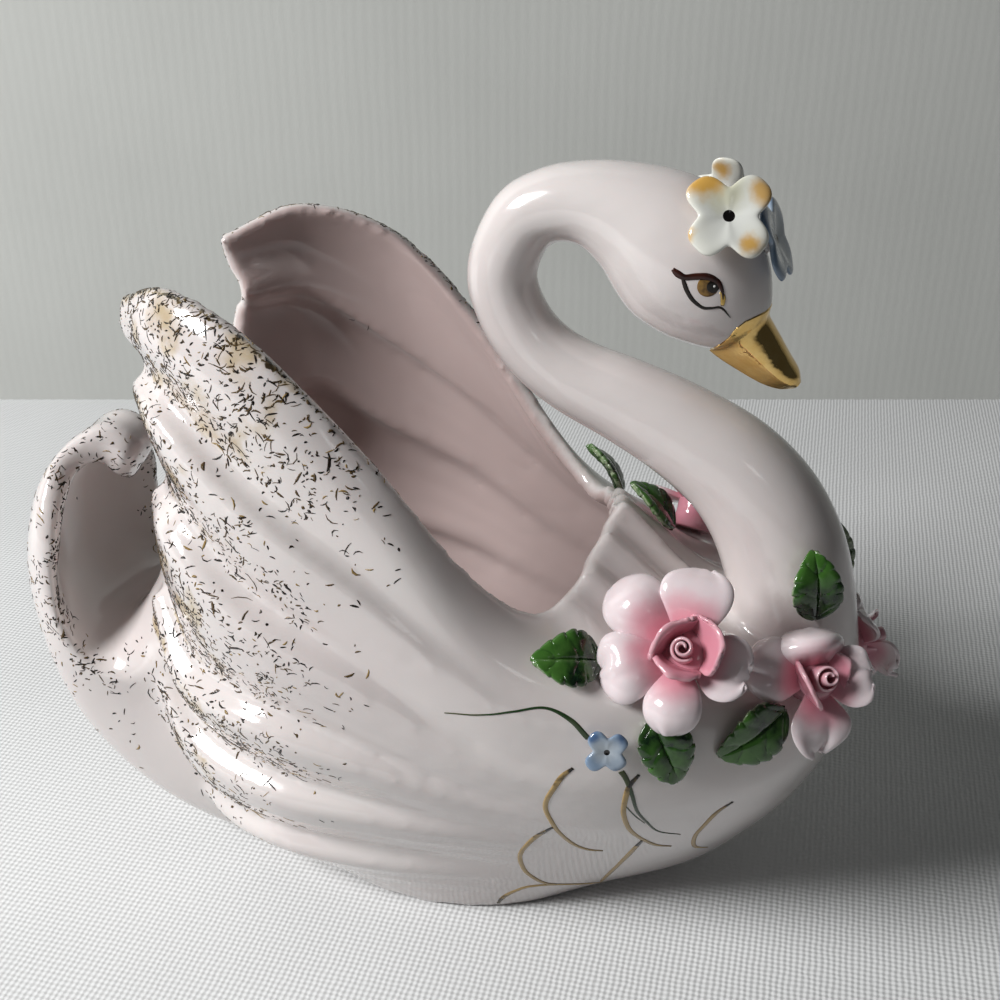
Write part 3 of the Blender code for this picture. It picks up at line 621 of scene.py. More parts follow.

# The painted eye, one on each side. A reddish-brown upper lid and a fine black lower lid drawn with the point
# of a brush, a gold-brown iris with a black pupil, a white dot on the pupil that is a painted highlight, and
# a touch of gold at the inner corner.
EYE_CENTRE = (48.25, -10.7, 135.35)
IRIS_RADIUS = 1.85
PUPIL_CENTRE = (49.0, -10.5, 135.3)
PUPIL_RADIUS = 1.15
# The white dot on each pupil is a painted highlight
HIGHLIGHT_CENTRE = (49.25, -10.45, 135.35)
HIGHLIGHT_RADIUS = 0.26
UPPER_LID = [(42.3, -11.1, 138.0), (43.2, -11.2, 137.3), (44.4, -11.3, 136.8), (46.2, -11.1, 137.0),
             (48.1, -10.5, 136.9), (49.7, -10.1, 136.0), (50.5, -9.8, 134.5), (50.7, -9.6, 133.0)]
UPPER_LID_WIDTHS = [0.34, 0.6, 0.5, 0.56, 0.58, 0.46, 0.28, 0.1]
LOWER_LID = [(44.0, -11.3, 136.7), (44.4, -11.2, 135.6), (44.9, -11.1, 134.4), (45.9, -10.8, 132.9),
             (47.5, -10.3, 131.6), (48.9, -9.9, 131.5), (50.2, -9.7, 131.6), (51.1, -9.4, 131.0),
             (52.2, -8.7, 129.5)]
LOWER_LID_WIDTHS = [0.26, 0.36, 0.36, 0.34, 0.28, 0.22, 0.2, 0.18, 0.06]
EYE_CORNER = [(50.35, -9.8, 134.4), (50.75, -9.7, 133.2), (50.75, -9.6, 131.9)]
EYE_CORNER_WIDTHS = [0.25, 0.45, 0.3]
# How far each layer of paint stands off the glaze, how deep it reaches into it, and the steps of a lid
IRIS_PROUD = 0.07
PUPIL_PROUD = 0.12
HIGHLIGHT_PROUD = 0.17
EYE_CORNER_PROUD = 0.1
UPPER_LID_PROUD = 0.16
LOWER_LID_PROUD = 0.14
PAINT_ROOT = 0.15
LID_STEP = 0.2


def on_glaze(point):
    """Nearest point of the glazed surface and the way the surface faces there."""
    place, normal = glaze.find_nearest(Vector(point))[:2]
    return place, normal


def stroke_rings(points, half_widths, proud, step):
    """Rings of one brush stroke, thickest along its middle, laid on the glaze through the points."""
    points = np.asarray(points, float)
    length = float(np.linalg.norm(np.diff(points, axis=0), axis=1).sum())
    places = np.linspace(0, len(points) - 1, max(int(length / step), 2) + 1)
    shares = curve_weights(places, len(points))
    line = shares @ points
    widths = np.maximum(shares @ np.asarray(half_widths, float), 0.03)
    ways = np.gradient(line, axis=0)
    rings = []
    for middle, way, half in zip(line, ways, widths):
        place, normal = on_glaze(middle)
        side = normal.cross(Vector(way)).normalized()
        top, under = [], []
        for across in (-1.0, -0.55, 0.0, 0.55, 1.0):
            spot, facing = on_glaze(place + side * across * half)
            top.append(spot + facing * proud * (1 - 0.5 * across * across))
            under.append(spot - facing * PAINT_ROOT)
        rings.append(top + under[::-1])
    return rings


def mirrored(points):
    return [(x, -y, z) for x, y, z in points]


def brushwork(name, strokes, proud, step=0.45):
    """Many strokes as one object, each with its own closed skin and its share of the way along it."""
    corners, faces, along = [], [], []
    for points, half_widths in strokes:
        rings = stroke_rings(points, half_widths, proud, step)
        start, count = len(corners), len(rings[0])
        for index, ring in enumerate(rings):
            corners += ring
            along += [index / (len(rings) - 1)] * count
        faces += tube_faces(len(rings), count, start)
    return solid(name, corners, faces, along=along)


def discs(name, centres, radius, proud, sides=40, steps=6):
    """Round spots of paint as one object, domed and following the glaze."""
    corners, faces, away = [], [], []
    for centre in centres:
        place, normal = on_glaze(centre)
        across = Vector((0, 0, 1)).cross(normal).normalized()
        up = normal.cross(across)
        rings = []
        for step in range(1, steps + 1):
            reach = radius * step / steps
            turns = [2 * math.pi * side / sides for side in range(sides)]
            spots = [on_glaze(place + (across * math.cos(turn) + up * math.sin(turn)) * reach)
                     for turn in turns]
            lift = proud * (1 - 0.6 * (step / steps) ** 4)
            rings.append([spot + facing * lift for spot, facing in spots])
        rings.append([spot - facing * PAINT_ROOT for spot, facing in spots])
        rings.append([place - normal * PAINT_ROOT + (spot - place) * 0.2 for spot in rings[-1]])
        start = len(corners)
        for index, ring in enumerate(rings):
            corners += ring
            away += [min((index + 1) / steps, 1.0)] * sides
        faces += tube_faces(len(rings), sides, start)
    return solid(name, corners, faces, away=away)


def painted(item, material):
    item.data.shade_smooth()
    item.data.materials.append(material)
    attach(item, "root")


ENAMEL_COAT = 0.1
ENAMEL_SHEEN = 0.3


def overglaze(name):
    """Duller ware for colours laid over the glaze, its colour still to be set."""
    made, shader, tree = ceramic(name)
    shader.inputs["Coat Weight"].default_value = ENAMEL_COAT
    shader.inputs["Specular IOR Level"].default_value = ENAMEL_SHEEN
    return made, shader, tree


def enamel(name, first, second, scale):
    """Overglaze colour laid with a brush, uneven where it is thin."""
    made, shader, tree = overglaze(name)
    colour = blend(tree, use(tree, colour_cloud, Scale=scale), first, second)
    tree.links.new(colour, shader.inputs["Base Color"])
    return made


def drawn_line(name, start, middle, end):
    """Line that changes colour from where the brush lands to where it lifts."""
    made, shader, tree = overglaze(name)
    along = sums(tree, "MULTIPLY_ADD", use(tree, colour_cloud, Scale=500.0), 0.2, attribute(tree, "along"))
    colour = blend(tree, eased(tree, along, 0.12, 0.35), start, middle)
    tree.links.new(blend(tree, eased(tree, along, 0.8, 1.15), colour, end), shader.inputs["Base Color"])
    return made


iris_brown = enamel("iris_brown", (0.30, 0.17, 0.04, 1), (0.05, 0.022, 0.008, 1), 900.0)
enamel_black = enamel("enamel_black", (0.006, 0.005, 0.004, 1), (0.02, 0.012, 0.008, 1), 600.0)
# White of the dot on each pupil, a painted highlight
painted_highlight_white = enamel("painted_highlight_white", (0.9, 0.9, 0.88, 1), (0.8, 0.8, 0.78, 1), 400.0)
lid_brown = enamel("lid_brown", (0.045, 0.012, 0.008, 1), (0.015, 0.006, 0.005, 1), 300.0)


def on_both_sides(centre):
    return [centre, *mirrored([centre])]


def eye_strokes(points, half_widths):
    return [(points, half_widths), (mirrored(points), half_widths)]


painted(discs("eye_iris", on_both_sides(EYE_CENTRE), IRIS_RADIUS, IRIS_PROUD), iris_brown)
painted(discs("eye_pupil", on_both_sides(PUPIL_CENTRE), PUPIL_RADIUS, PUPIL_PROUD), enamel_black)
painted(discs("eye_highlight", on_both_sides(HIGHLIGHT_CENTRE), HIGHLIGHT_RADIUS, HIGHLIGHT_PROUD, 16, 3),
        painted_highlight_white)
painted(brushwork("eye_corner", eye_strokes(EYE_CORNER, EYE_CORNER_WIDTHS), EYE_CORNER_PROUD, LID_STEP),
        brushed_gold)
painted(brushwork("upper_lid", eye_strokes(UPPER_LID, UPPER_LID_WIDTHS), UPPER_LID_PROUD, LID_STEP),
        lid_brown)
painted(brushwork("lower_lid", eye_strokes(LOWER_LID, LOWER_LID_WIDTHS), LOWER_LID_PROUD, LID_STEP),
        enamel_black)

# The feather scallops and stems. Drawn over the glaze on the breast flutes with a loaded brush: each
# scallop starts nearly black, turns to gold, and the stems of the flowers are thin olive and green lines.
SCALLOPS = [
    [(33.3, -40.3, 55.0), (31.4, -40.5, 52.8), (30.0, -40.3, 49.9), (28.5, -39.1, 46.0), (28.0, -37.6, 42.2),
     (28.9, -35.8, 37.9), (30.0, -33.1, 33.2), (32.0, -30.2, 28.5), (34.5, -28.2, 25.9), (37.4, -27.0, 25.2)],
    [(28.9, -34.8, 36.0), (25.9, -33.3, 32.0), (23.1, -31.7, 27.4), (21.4, -29.7, 22.6), (21.6, -26.8, 16.8),
     (23.2, -24.8, 12.9), (25.3, -22.7, 10.0), (27.4, -21.5, 9.1)],
    [(44.7, -37.4, 53.5), (43.0, -37.7, 50.2), (42.1, -35.7, 43.9), (42.2, -33.7, 39.7), (43.0, -31.1, 35.2),
     (44.8, -28.2, 30.9), (47.3, -25.2, 27.4), (50.2, -23.3, 26.0)],
    [(45.1, -27.6, 30.0), (42.9, -25.2, 24.7), (39.7, -21.4, 16.9), (36.8, -18.0, 9.8), (35.6, -15.7, 6.0)],
    [(61.2, -26.9, 42.1), (58.6, -26.6, 39.0), (56.5, -25.4, 34.5), (54.7, -23.5, 29.4), (54.6, -20.0, 24.0),
     (56.9, -16.6, 21.2)],
    [(15.0, -22.2, 1.6), (16.4, -23.0, 4.4), (19.1, -23.4, 7.1), (22.1, -23.3, 8.8), (27.0, -21.5, 8.9),
     (33.8, -17.3, 6.8), (35.6, -15.7, 6.0)],
]
SCALLOP_HALF_WIDTH = 0.5
SCALLOP_PROUD = 0.15
STEM_PROUD = 0.13
STEMS = [
    ([(10.7, -43.0, 65.0), (17.1, -43.1, 65.7), (22.9, -42.5, 66.8), (28.1, -40.6, 67.2), (32.5, -40.1, 65.1),
      (35.7, -39.7, 61.5)], [0.1, 0.16, 0.2, 0.24, 0.42, 0.5]),
    ([(41.6, -38.3, 54.4), (42.6, -38.1, 52.5), (43.6, -37.0, 48.5), (44.4, -34.5, 43.0), (45.9, -31.9, 38.6),
      (48.1, -28.8, 33.8), (52.0, -25.7, 31.5)], [0.55, 0.5, 0.4, 0.32, 0.26, 0.2, 0.06]),
    ([(42.4, -36.0, 45.0), (44.0, -33.6, 41.0), (45.6, -31.6, 38.0)], [0.12, 0.14, 0.08]),
]


def scallop_widths(points):
    """Half widths along a scallop, thin where the brush lands and lifts."""
    places = np.linspace(0, 1, len(points))
    return SCALLOP_HALF_WIDTH * np.minimum(1, 0.55 + 2.6 * np.sin(np.pi * places)) * (1.1 - 0.3 * places)


scallop_gold = drawn_line("scallop_gold", (0.004, 0.003, 0.003, 1), (0.46, 0.31, 0.12, 1),
                          (0.30, 0.22, 0.11, 1))
stem_green = drawn_line("stem_green", (0.06, 0.07, 0.02, 1), (0.02, 0.05, 0.015, 1), (0.06, 0.08, 0.04, 1))
lines = [(points, scallop_widths(points)) for points in SCALLOPS]
lines += [(mirrored(points), scallop_widths(points)) for points in SCALLOPS]
painted(brushwork("feather_scallops", lines, SCALLOP_PROUD), scallop_gold)
stems = STEMS + [(mirrored(points), widths) for points, widths in STEMS]
painted(brushwork("flower_stems", stems, STEM_PROUD), stem_green)

# The flecks. Thousands of short brush marks in black, brown and ochre, thick along the rim, the wing
# ends and the tail lip and thinning forward, put on with a splayed brush before the last firing.
# They are tried at many spots and kept where the brush is likely to have touched.
FLECK_SEED = 7
FLECK_LENGTH = 1.1
FLECK_WIDTH = 0.29
WING_TRIES = 150000
TAIL_TRIES = 130000
# Along a mark from end to end, how wide it is there against its middle
FLECK_TAPER = ((-1.0, 0.4), (-0.4, 1.0), (0.4, 0.95), (1.0, 0.35))
# Across a mark's section, how far its skin stands off the glaze in millimetres
FLECK_SECTION = ((-1, 0.02), (0, 0.075), (1, 0.02), (0, -0.13))


def scattered(item, tries, chance):
    """Spots over the object's faces, by area, with the way each face looks."""
    mesh = item.data
    mesh.calc_loop_triangles()
    corners = np.array([vertex.co for vertex in mesh.vertices]) / MM
    triangles = np.array([triangle.vertices for triangle in mesh.loop_triangles])
    a, b, c = (corners[triangles[:, index]] for index in range(3))
    normals = np.cross(b - a, c - a)
    areas = np.linalg.norm(normals, axis=1)
    picked = chance.choice(len(triangles), tries, p=areas / areas.sum())
    u, v = chance.random(tries), chance.random(tries)
    flip = u + v > 1
    u[flip], v[flip] = 1 - u[flip], 1 - v[flip]
    spots = a[picked] + (b - a)[picked] * u[:, None] + (c - a)[picked] * v[:, None]
    return spots, normals[picked] / np.maximum(areas[picked], 1e-12)[:, None]


def make_flecks(name, share, side, tries, keep, seed):
    """Short closed brush marks a hair proud of the glaze on one side, some straight and some hooked."""
    chance = np.random.default_rng(seed)
    spots, facings = scattered(casting, tries, chance)
    kept = (spots[:, 1] * side >= 0) & (chance.random(tries) < keep)
    spots, facings = spots[kept], facings[kept]
    density = share(spots)
    kept = chance.random(len(spots)) < density
    corners, faces, shade = [], [], []
    for spot, facing, full in zip(spots[kept], facings[kept], density[kept]):
        normal = Vector(facing)
        level = Vector((0.3, 0, 1)).cross(normal).normalized()
        turn = chance.normal(0.5, 0.9)
        way = (level * math.cos(turn) + normal.cross(level) * math.sin(turn)).normalized()
        across = normal.cross(way)
        half = 0.5 * FLECK_LENGTH * min(math.exp(chance.normal(-0.15, 0.55)), 3.5)
        wide = 0.5 * FLECK_WIDTH * math.exp(chance.normal(0, 0.35))
        bend = chance.normal(0, 0.28) * half
        tone = chance.random() * (1.15 - 0.3 * full)
        start = len(corners)
        for end, narrow in FLECK_TAPER:
            middle = Vector(spot) + way * half * end + across * bend * (1 - end * end)
            for out, lift in FLECK_SECTION:
                place, away = on_glaze(middle + across * wide * narrow * out)
                corners.append(place + away * lift)
                shade.append(tone)
        faces += tube_faces(len(FLECK_TAPER), len(FLECK_SECTION), start)
    return solid(name, corners, faces, tone=shade)


fleck_enamel, shader, tree = ceramic("fleck_enamel")
shader.inputs["Coat Weight"].default_value = 0.0
shader.inputs["Specular IOR Level"].default_value = ENAMEL_SHEEN
tone = attribute(tree, "tone")
speck = blend(tree, eased(tree, tone, 0.45, 0.72), (0.014, 0.009, 0.006, 1), (0.10, 0.062, 0.024, 1))
speck = blend(tree, eased(tree, tone, 0.9, 0.97), speck, (0.30, 0.20, 0.07, 1))
tree.links.new(speck, shader.inputs["Base Color"])
painted(make_flecks("wing_flecks_near", wing_fleck_share, -1, WING_TRIES, 0.92, FLECK_SEED), fleck_enamel)
painted(make_flecks("wing_flecks_far", wing_fleck_share, 1, WING_TRIES, 0.92, FLECK_SEED + 1), fleck_enamel)
painted(make_flecks("tail_flecks_near", tail_fleck_share, -1, TAIL_TRIES, 0.8, FLECK_SEED + 3), fleck_enamel)
painted(make_flecks("tail_flecks_far", tail_fleck_share, 1, TAIL_TRIES, 0.8, FLECK_SEED + 5), fleck_enamel)

# The roses. Two near roses and two on the far side, each built up by hand from thin petals pinched out
# of porcelain paste round a rolled bud, the petals luted to a hub and rolled back at their edges.
# A rose is its make, its centre, the way it faces, its turn in degrees and its size against the full one
ROSES = {
    "rose_wing": ("open", (50.4, -29.8, 75.4), (0.0, -0.76, 0.65), 0, 0.98),
    "rose_breast": ("rolled", (73.2, -20.2, 67.2), (0.45, -0.68, 0.58), 0, 0.84),
    "rose_breast_far": ("rolled", (82.2, 12.0, 56.5), (0.85, 0.48, 0.2), 30, 0.78),
    "rose_wing_far": ("open", (46.5, 26.5, 76.5), (0.1, 0.62, 0.78), 180, 0.95),
}
# An outer petal is its turn in degrees, start, length, width, rise, cup, backward curl, dome, the share of
# its length where it is widest, and how far its edge wavers
OUTER_PETALS = {
    "open": [
        (84, 2.5, 12.4, 12.6, 3.4, 1.2, 2.6, 1.2, 0.62, 0.5),
        (143, 3, 14.4, 11.8, 2.6, -1.4, 3.4, 2.4, 0.6, 0.3),
        (203, 3, 12.2, 12.4, 3.4, -0.8, 2.6, 1.6, 0.66, 1.2),
        (266, 3, 11.6, 9.6, 3.2, -0.8, 2.4, 1.6, 0.58, 0.7),
        (346, 2.5, 9.4, 12.4, 0.2, 1.6, 0.8, 0.2, 0.62, 1.0),
    ],
    "rolled": [
        (158, 3, 12.6, 13.6, 1.0, -0.6, 1.6, 1.4, 0.6, 1.6),
        (88, 2.2, 8.2, 15.0, 5.0, -2.6, 4.6, 3.4, 0.6, 0.3),
        (352, 2.5, 9.0, 14.0, 4.0, 1.8, 0.6, 0.2, 0.6, 1.5),
        (263, 3, 12.8, 13.4, 0.6, 1.2, 3.0, 0.6, 0.6, 1.8),
    ],
}
# An inner petal is its turn in degrees, how far out it stands at its foot and at its top, its width, its
# height, its bow round the bud and the roll of its lip
INNER_PETALS = {
    "open": [(137, 2.6, 4.4, 11.6, 8.2, 1.5, 0.5), (22, 2.8, 7.4, 11.2, 7.4, 2.2, -0.2),
             (250, 2.8, 5.0, 9.6, 6.8, 1.6, 1.3)],
    "rolled": [(196, 3.4, 5.6, 11.6, 8.4, 1.0, 0.5), (20, 3.4, 7.0, 10.6, 5.2, 2.2, 0.2)],
}
PETAL_THICKNESS = 1.2
PETAL_LIP = 0.5
# The rolled bud: its make's radius and height, and how it is wound
BUDS = {"open": (2.35, 6.6), "rolled": (3.1, 7.4)}
BUD_TURNS = 1.9
BUD_CORE = 0.4
BUD_SHEET = 0.65
# The hub under the petals, each level above the foot of the petals and its radius there
HUB_RADIUS = 4.0
HUB_SIDES = 32
HUB_TOP = [(0.0, 4.2), (1.2, 4.6), (2.2, 3.6), (2.5, 2.0)]


def frame_at(centre, facing, turn):
    """Placement at a point with local z along the facing and local x level, then turned."""
    ahead = Vector(facing).normalized()
    side = Vector((0, 0, 1)).cross(ahead).normalized()
    if ahead.y > 0:
        side = -side
    turned = Matrix((side, ahead.cross(side), ahead)).transposed()
    turned @= Matrix.Rotation(math.radians(turn), 3, "Z")
    return Matrix.Translation(Vector(centre)) @ turned.to_4x4()


def closed_sheet(grid, thickness, lip):
    """Corners and faces of a sheet about a grid of points, thinned to a rounded lip at its edges."""
    rows, columns = grid.shape[:2]
    normal = np.cross(np.gradient(grid, axis=0), np.gradient(grid, axis=1))
    normal /= np.maximum(np.linalg.norm(normal, axis=2, keepdims=True), 1e-9)
    across = np.linspace(-1, 1, columns)[None, :]
    along = np.linspace(0, 1, rows)[:, None]
    side = 1 - np.abs(np.sin(0.5 * np.pi * across)) ** 10
    end = 1 - along ** 12
    half = 0.5 * (lip + (thickness - lip) * np.sqrt(np.clip(side * end, 0, 1)))
    half = half * np.sqrt(np.clip((1 - np.abs(across) ** 40) * (1 - along ** 60), 0.06, 1))
    top = (grid + normal * half[:, :, None]).reshape(-1, 3)
    bottom = (grid - normal * half[:, :, None]).reshape(-1, 3)
    faces = grid_faces(rows, columns)
    lower = rows * columns
    faces += [[lower + index for index in face[::-1]] for face in faces]
    edge = list(range(columns))
    edge += [row * columns + columns - 1 for row in range(1, rows)]
    edge += [(rows - 1) * columns + column for column in range(columns - 2, -1, -1)]
    edge += [row * columns for row in range(rows - 2, 0, -1)]
    for here, there in zip(edge, edge[1:] + edge[:1]):
        faces.append([here, there, lower + there, lower + here])
    return np.vstack([top, bottom]), faces


def waver(chance, side, count):
    """Uneven run of a pinched edge across a petal, three slow waves of seeded height."""
    waves = [np.sin((2.3 + 2.9 * wave) * side + phase) * share
             for wave, (phase, share) in enumerate(zip(chance.random(count) * 2 * np.pi, (0.5, 0.35, 0.22)))]
    return sum(waves)


def outer_petal(petal, chance, rows=30, columns=37):
    """Grid of a petal that leaves the hub, swells to a round puffed tip and rolls back at its edge."""
    turn, start, length, width, rise, cup, curl, dome, widest, uneven = petal
    part = np.sin(0.5 * np.pi * np.linspace(0, 1, rows))[:, None]
    side = np.sin(0.5 * np.pi * np.linspace(-1, 1, columns))[None, :]
    edge = waver(chance, side, 3) * uneven
    sweep = np.clip(part / widest, 0, 1)
    half = 0.45 + 0.55 * np.sin(0.5 * np.pi * sweep) ** 1.3
    half = 0.5 * width * half * np.sqrt(1 - 0.92 * np.clip((part - widest) / (1 - widest), 0, 1) ** 2.4)
    half = half * (1 + 0.05 * uneven * np.sin(5 * part + 6 * chance.random()))
    out = start + length * part * (1 + 0.045 * edge * part ** 2)
    height = rise * np.sin(0.5 * np.pi * part) + cup * side ** 2 * part - curl * part ** 3.5
    height = height + dome * (1 - side ** 2) * np.sin(np.pi * part ** 1.3)
    lip = np.clip((part - 0.8) / 0.2, 0, 1) ** 2 + np.clip((np.abs(side) - 0.75) / 0.25, 0, 1) ** 2 * part
    height = height - 0.55 * np.minimum(lip, 1.3) + 0.4 * edge * part ** 3
    fold = np.exp(-((side - 0.25) / 0.16) ** 2) * smooth_step(0.3, 0.9, part) * smooth_step(0.9, 1.4, uneven)
    height = height - 0.7 * fold
    angle = math.radians(turn)
    across = side * half
    grid = np.stack([out * math.cos(angle) - across * math.sin(angle),
                     out * math.sin(angle) + across * math.cos(angle), height], axis=2)
    pink = 1 - smooth_step(0.1, 0.85, part + 0.2 * side ** 2 + 0.04 * edge)
    return grid, np.broadcast_to(pink, (rows, columns))


def inner_petal(petal, chance, rows=26, columns=37):
    """Grid of an upright petal bowed about the bud, round at its top with a thin rolled lip."""
    turn, foot, top, width, height, bow, roll = petal
    part = np.linspace(0, 1, rows)[:, None]
    side = np.sin(0.5 * np.pi * np.linspace(-1, 1, columns))[None, :]
    edge = waver(chance, side, 3)
    half = 0.5 * width * (0.5 + 0.5 * np.sin(0.5 * np.pi * np.minimum(part / 0.6, 1)))
    half = half * np.sqrt(1 - 0.55 * np.clip((part - 0.55) / 0.45, 0, 1) ** 2)
    out = foot + (top - foot) * part ** 1.3 - bow * side ** 2 * (0.6 + 0.4 * part)
    lip = np.clip((part - 0.78) / 0.22, 0, 1) ** 2
    out = out + roll * lip * (0.6 + 0.4 * side) + 0.22 * edge * part ** 2
    level = height * part * (1 - 0.3 * side ** 2 * part) - 0.5 * abs(roll) * lip + 0.3 * edge * part ** 4
    angle = math.radians(turn)
    across = side * half
    grid = np.stack([out * math.cos(angle) - across * math.sin(angle),
                     out * math.sin(angle) + across * math.cos(angle), level - 0.4], axis=2)
    pink = 1.0 - 0.45 * smooth_step(0.8, 1.0, part + 0.05 * edge) - 0.25 * smooth_step(0.8, 1.0, np.abs(side))
    return grid, np.broadcast_to(pink, (rows, columns))


def rolled_bud(radius, height, rows=20, columns=100):
    """Grid of one petal rolled up, its free end standing lower than its heart."""
    part = np.linspace(0, 1, rows)[:, None]
    turn = np.linspace(0, 1, columns)[None, :]
    angle = 2 * np.pi * BUD_TURNS * turn
    wide = BUD_CORE + (radius - BUD_CORE) * turn ** 0.9
    out = wide * (0.74 + 0.26 * np.sin(np.pi * np.minimum(part * 0.85, 1))) + 0.15 * part ** 6
    top = height - 0.45 * (height - 2.0) * turn ** 2 + 0.5 * np.sin(angle + 0.6) * turn
    level = -0.5 + (top + 0.5) * part
    grid = np.stack([out * np.cos(angle), out * np.sin(angle), level], axis=2)
    pink = 0.8 - 0.35 * smooth_step(0.7, 1.0, part) + 0 * turn
    return grid, pink


def hub_depth(place, radius):
    """How far below a placement the glaze lies, at the shallowest spot under a hub of this radius."""
    axis = place.to_3x3().col[2]
    depths = []
    for step in range(8):
        turn = 0.25 * math.pi * step
        spot = place @ Vector((radius * math.cos(turn), radius * math.sin(turn), 0))
        distance = glaze.ray_cast(spot + axis * 3.0, -axis, 40.0)[3]
        if distance is not None:
            depths.append(distance - 3.0)
    return min(depths)


def round_rings(place, levels, sides):
    """Rings about the axis of a placement, from the height and the radius of each."""
    turns = 2 * np.pi * np.arange(sides) / sides
    return [[place @ Vector((radius * math.cos(turn), radius * math.sin(turn), height)) for turn in turns]
            for height, radius in levels]


def make_rose(name, make, centre, facing, turn, size):
    """One rose: its outer and inner petals, its bud, and the hub that joins them to the casting."""
    place = frame_at(centre, facing, turn)
    chance = np.random.default_rng(sum(map(ord, name)))
    sheets = [(*outer_petal(petal, chance), PETAL_THICKNESS) for petal in OUTER_PETALS[make]]
    sheets += [(*inner_petal(petal, chance), PETAL_THICKNESS) for petal in INNER_PETALS[make]]
    sheets.append((*rolled_bud(*BUDS[make]), BUD_SHEET))
    corners, faces, pink = [], [], []
    for grid, shade, thickness in sheets:
        points, sides = closed_sheet(grid, thickness, min(PETAL_LIP, thickness))
        faces += [[len(corners) + index for index in side] for side in sides]
        corners += [place @ (Vector(point) * size) for point in points]
        pink += list(shade.reshape(-1)) * 2
    depth = hub_depth(place, HUB_RADIUS * size)
    levels = [(-depth - 0.4, 4.6 * size), (-0.5 * depth, 4.2 * size)]
    levels += [(height * size, radius * size) for height, radius in HUB_TOP]
    faces += tube_faces(len(levels), HUB_SIDES, len(corners))
    for ring in round_rings(place, levels, HUB_SIDES):
        corners += ring
    pink += [0.9] * (HUB_SIDES * len(levels))
    return solid(name + "_petals", corners, faces, pink=pink)


rose_glaze, shader, tree = ceramic("rose_glaze")
pink = sums(tree, "MULTIPLY_ADD", use(tree, colour_cloud, Scale=230.0), 0.12, attribute(tree, "pink"))
petal = blend(tree, eased(tree, pink, 0.05, 0.75), (0.82, 0.71, 0.73, 1), (0.76, 0.40, 0.46, 1))
petal = blend(tree, eased(tree, pink, 0.6, 1.1), petal, (0.68, 0.27, 0.34, 1))
tree.links.new(petal, shader.inputs["Base Color"])
shader.inputs["Subsurface Weight"].default_value = 0.12
shader.inputs["Subsurface Radius"].default_value = (0.0022, 0.0012, 0.0010)
shader.inputs["Subsurface Scale"].default_value = 1.0
for rose_name, values in ROSES.items():
    rose = make_rose(rose_name, *values)
    rose.data.shade_smooth()
    rose.data.materials.append(rose_glaze)
    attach(rose, "root")
    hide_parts(rose_name)

# The leaves. Eight rolled and cut leaves tucked under the roses and laid up the neck, pressed with a
# midrib and side veins, their edges nicked with a knife, in a dark green glaze that thins at the edge.
# A leaf is its base, its tip, the way its face looks and its width
LEAVES = {
    "leaf_rim": ((36.2, -32.0, 72.9), (25.6, -38.9, 75.7), (0.3, -0.62, 0.72), 10.0),
    "leaf_flank": ((46.6, -37.4, 65.0), (52.1, -38.0, 53.0), (0.36, -0.9, 0.15), 9.5),
    "leaf_breast": ((69.3, -27.2, 63.6), (58.8, -34.0, 56.5), (0.56, -0.8, 0.2), 11.0),
    "leaf_neck": ((73.3, -14.3, 75.2), (71.8, -13.2, 88.4), (0.45, -0.88, 0.16), 10.0),
    "leaf_neck_far": ((77.5, 12.5, 86.0), (80.5, 14.5, 69.5), (0.75, 0.66, 0.1), 8.5),
    "leaf_wing_far": ((33.0, 28.5, 79.5), (24.5, 33.5, 87.0), (-0.1, 0.5, 0.85), 9.0),
    "leaf_collar": ((44.5, 12.5, 78.5), (36.0, 10.0, 88.5), (0.75, -0.1, 0.66), 8.5),
    "leaf_flank_far": ((46.6, 37.6, 66.0), (52.4, 38.0, 51.0), (0.36, 0.9, 0.15), 9.0),
}
LEAF_THICKNESS = 1.5
LEAF_LIP = 0.6
LEAF_FOLD = 0.16
LEAF_ARCH = 1.3
LEAF_TEETH = 6
LEAF_VEINS = 3
LEAF_GAP = 0.12
LEAF_CLEARANCE = 8.0
LEAF_COAT = 0.45
LEAF_SHEEN = 0.35


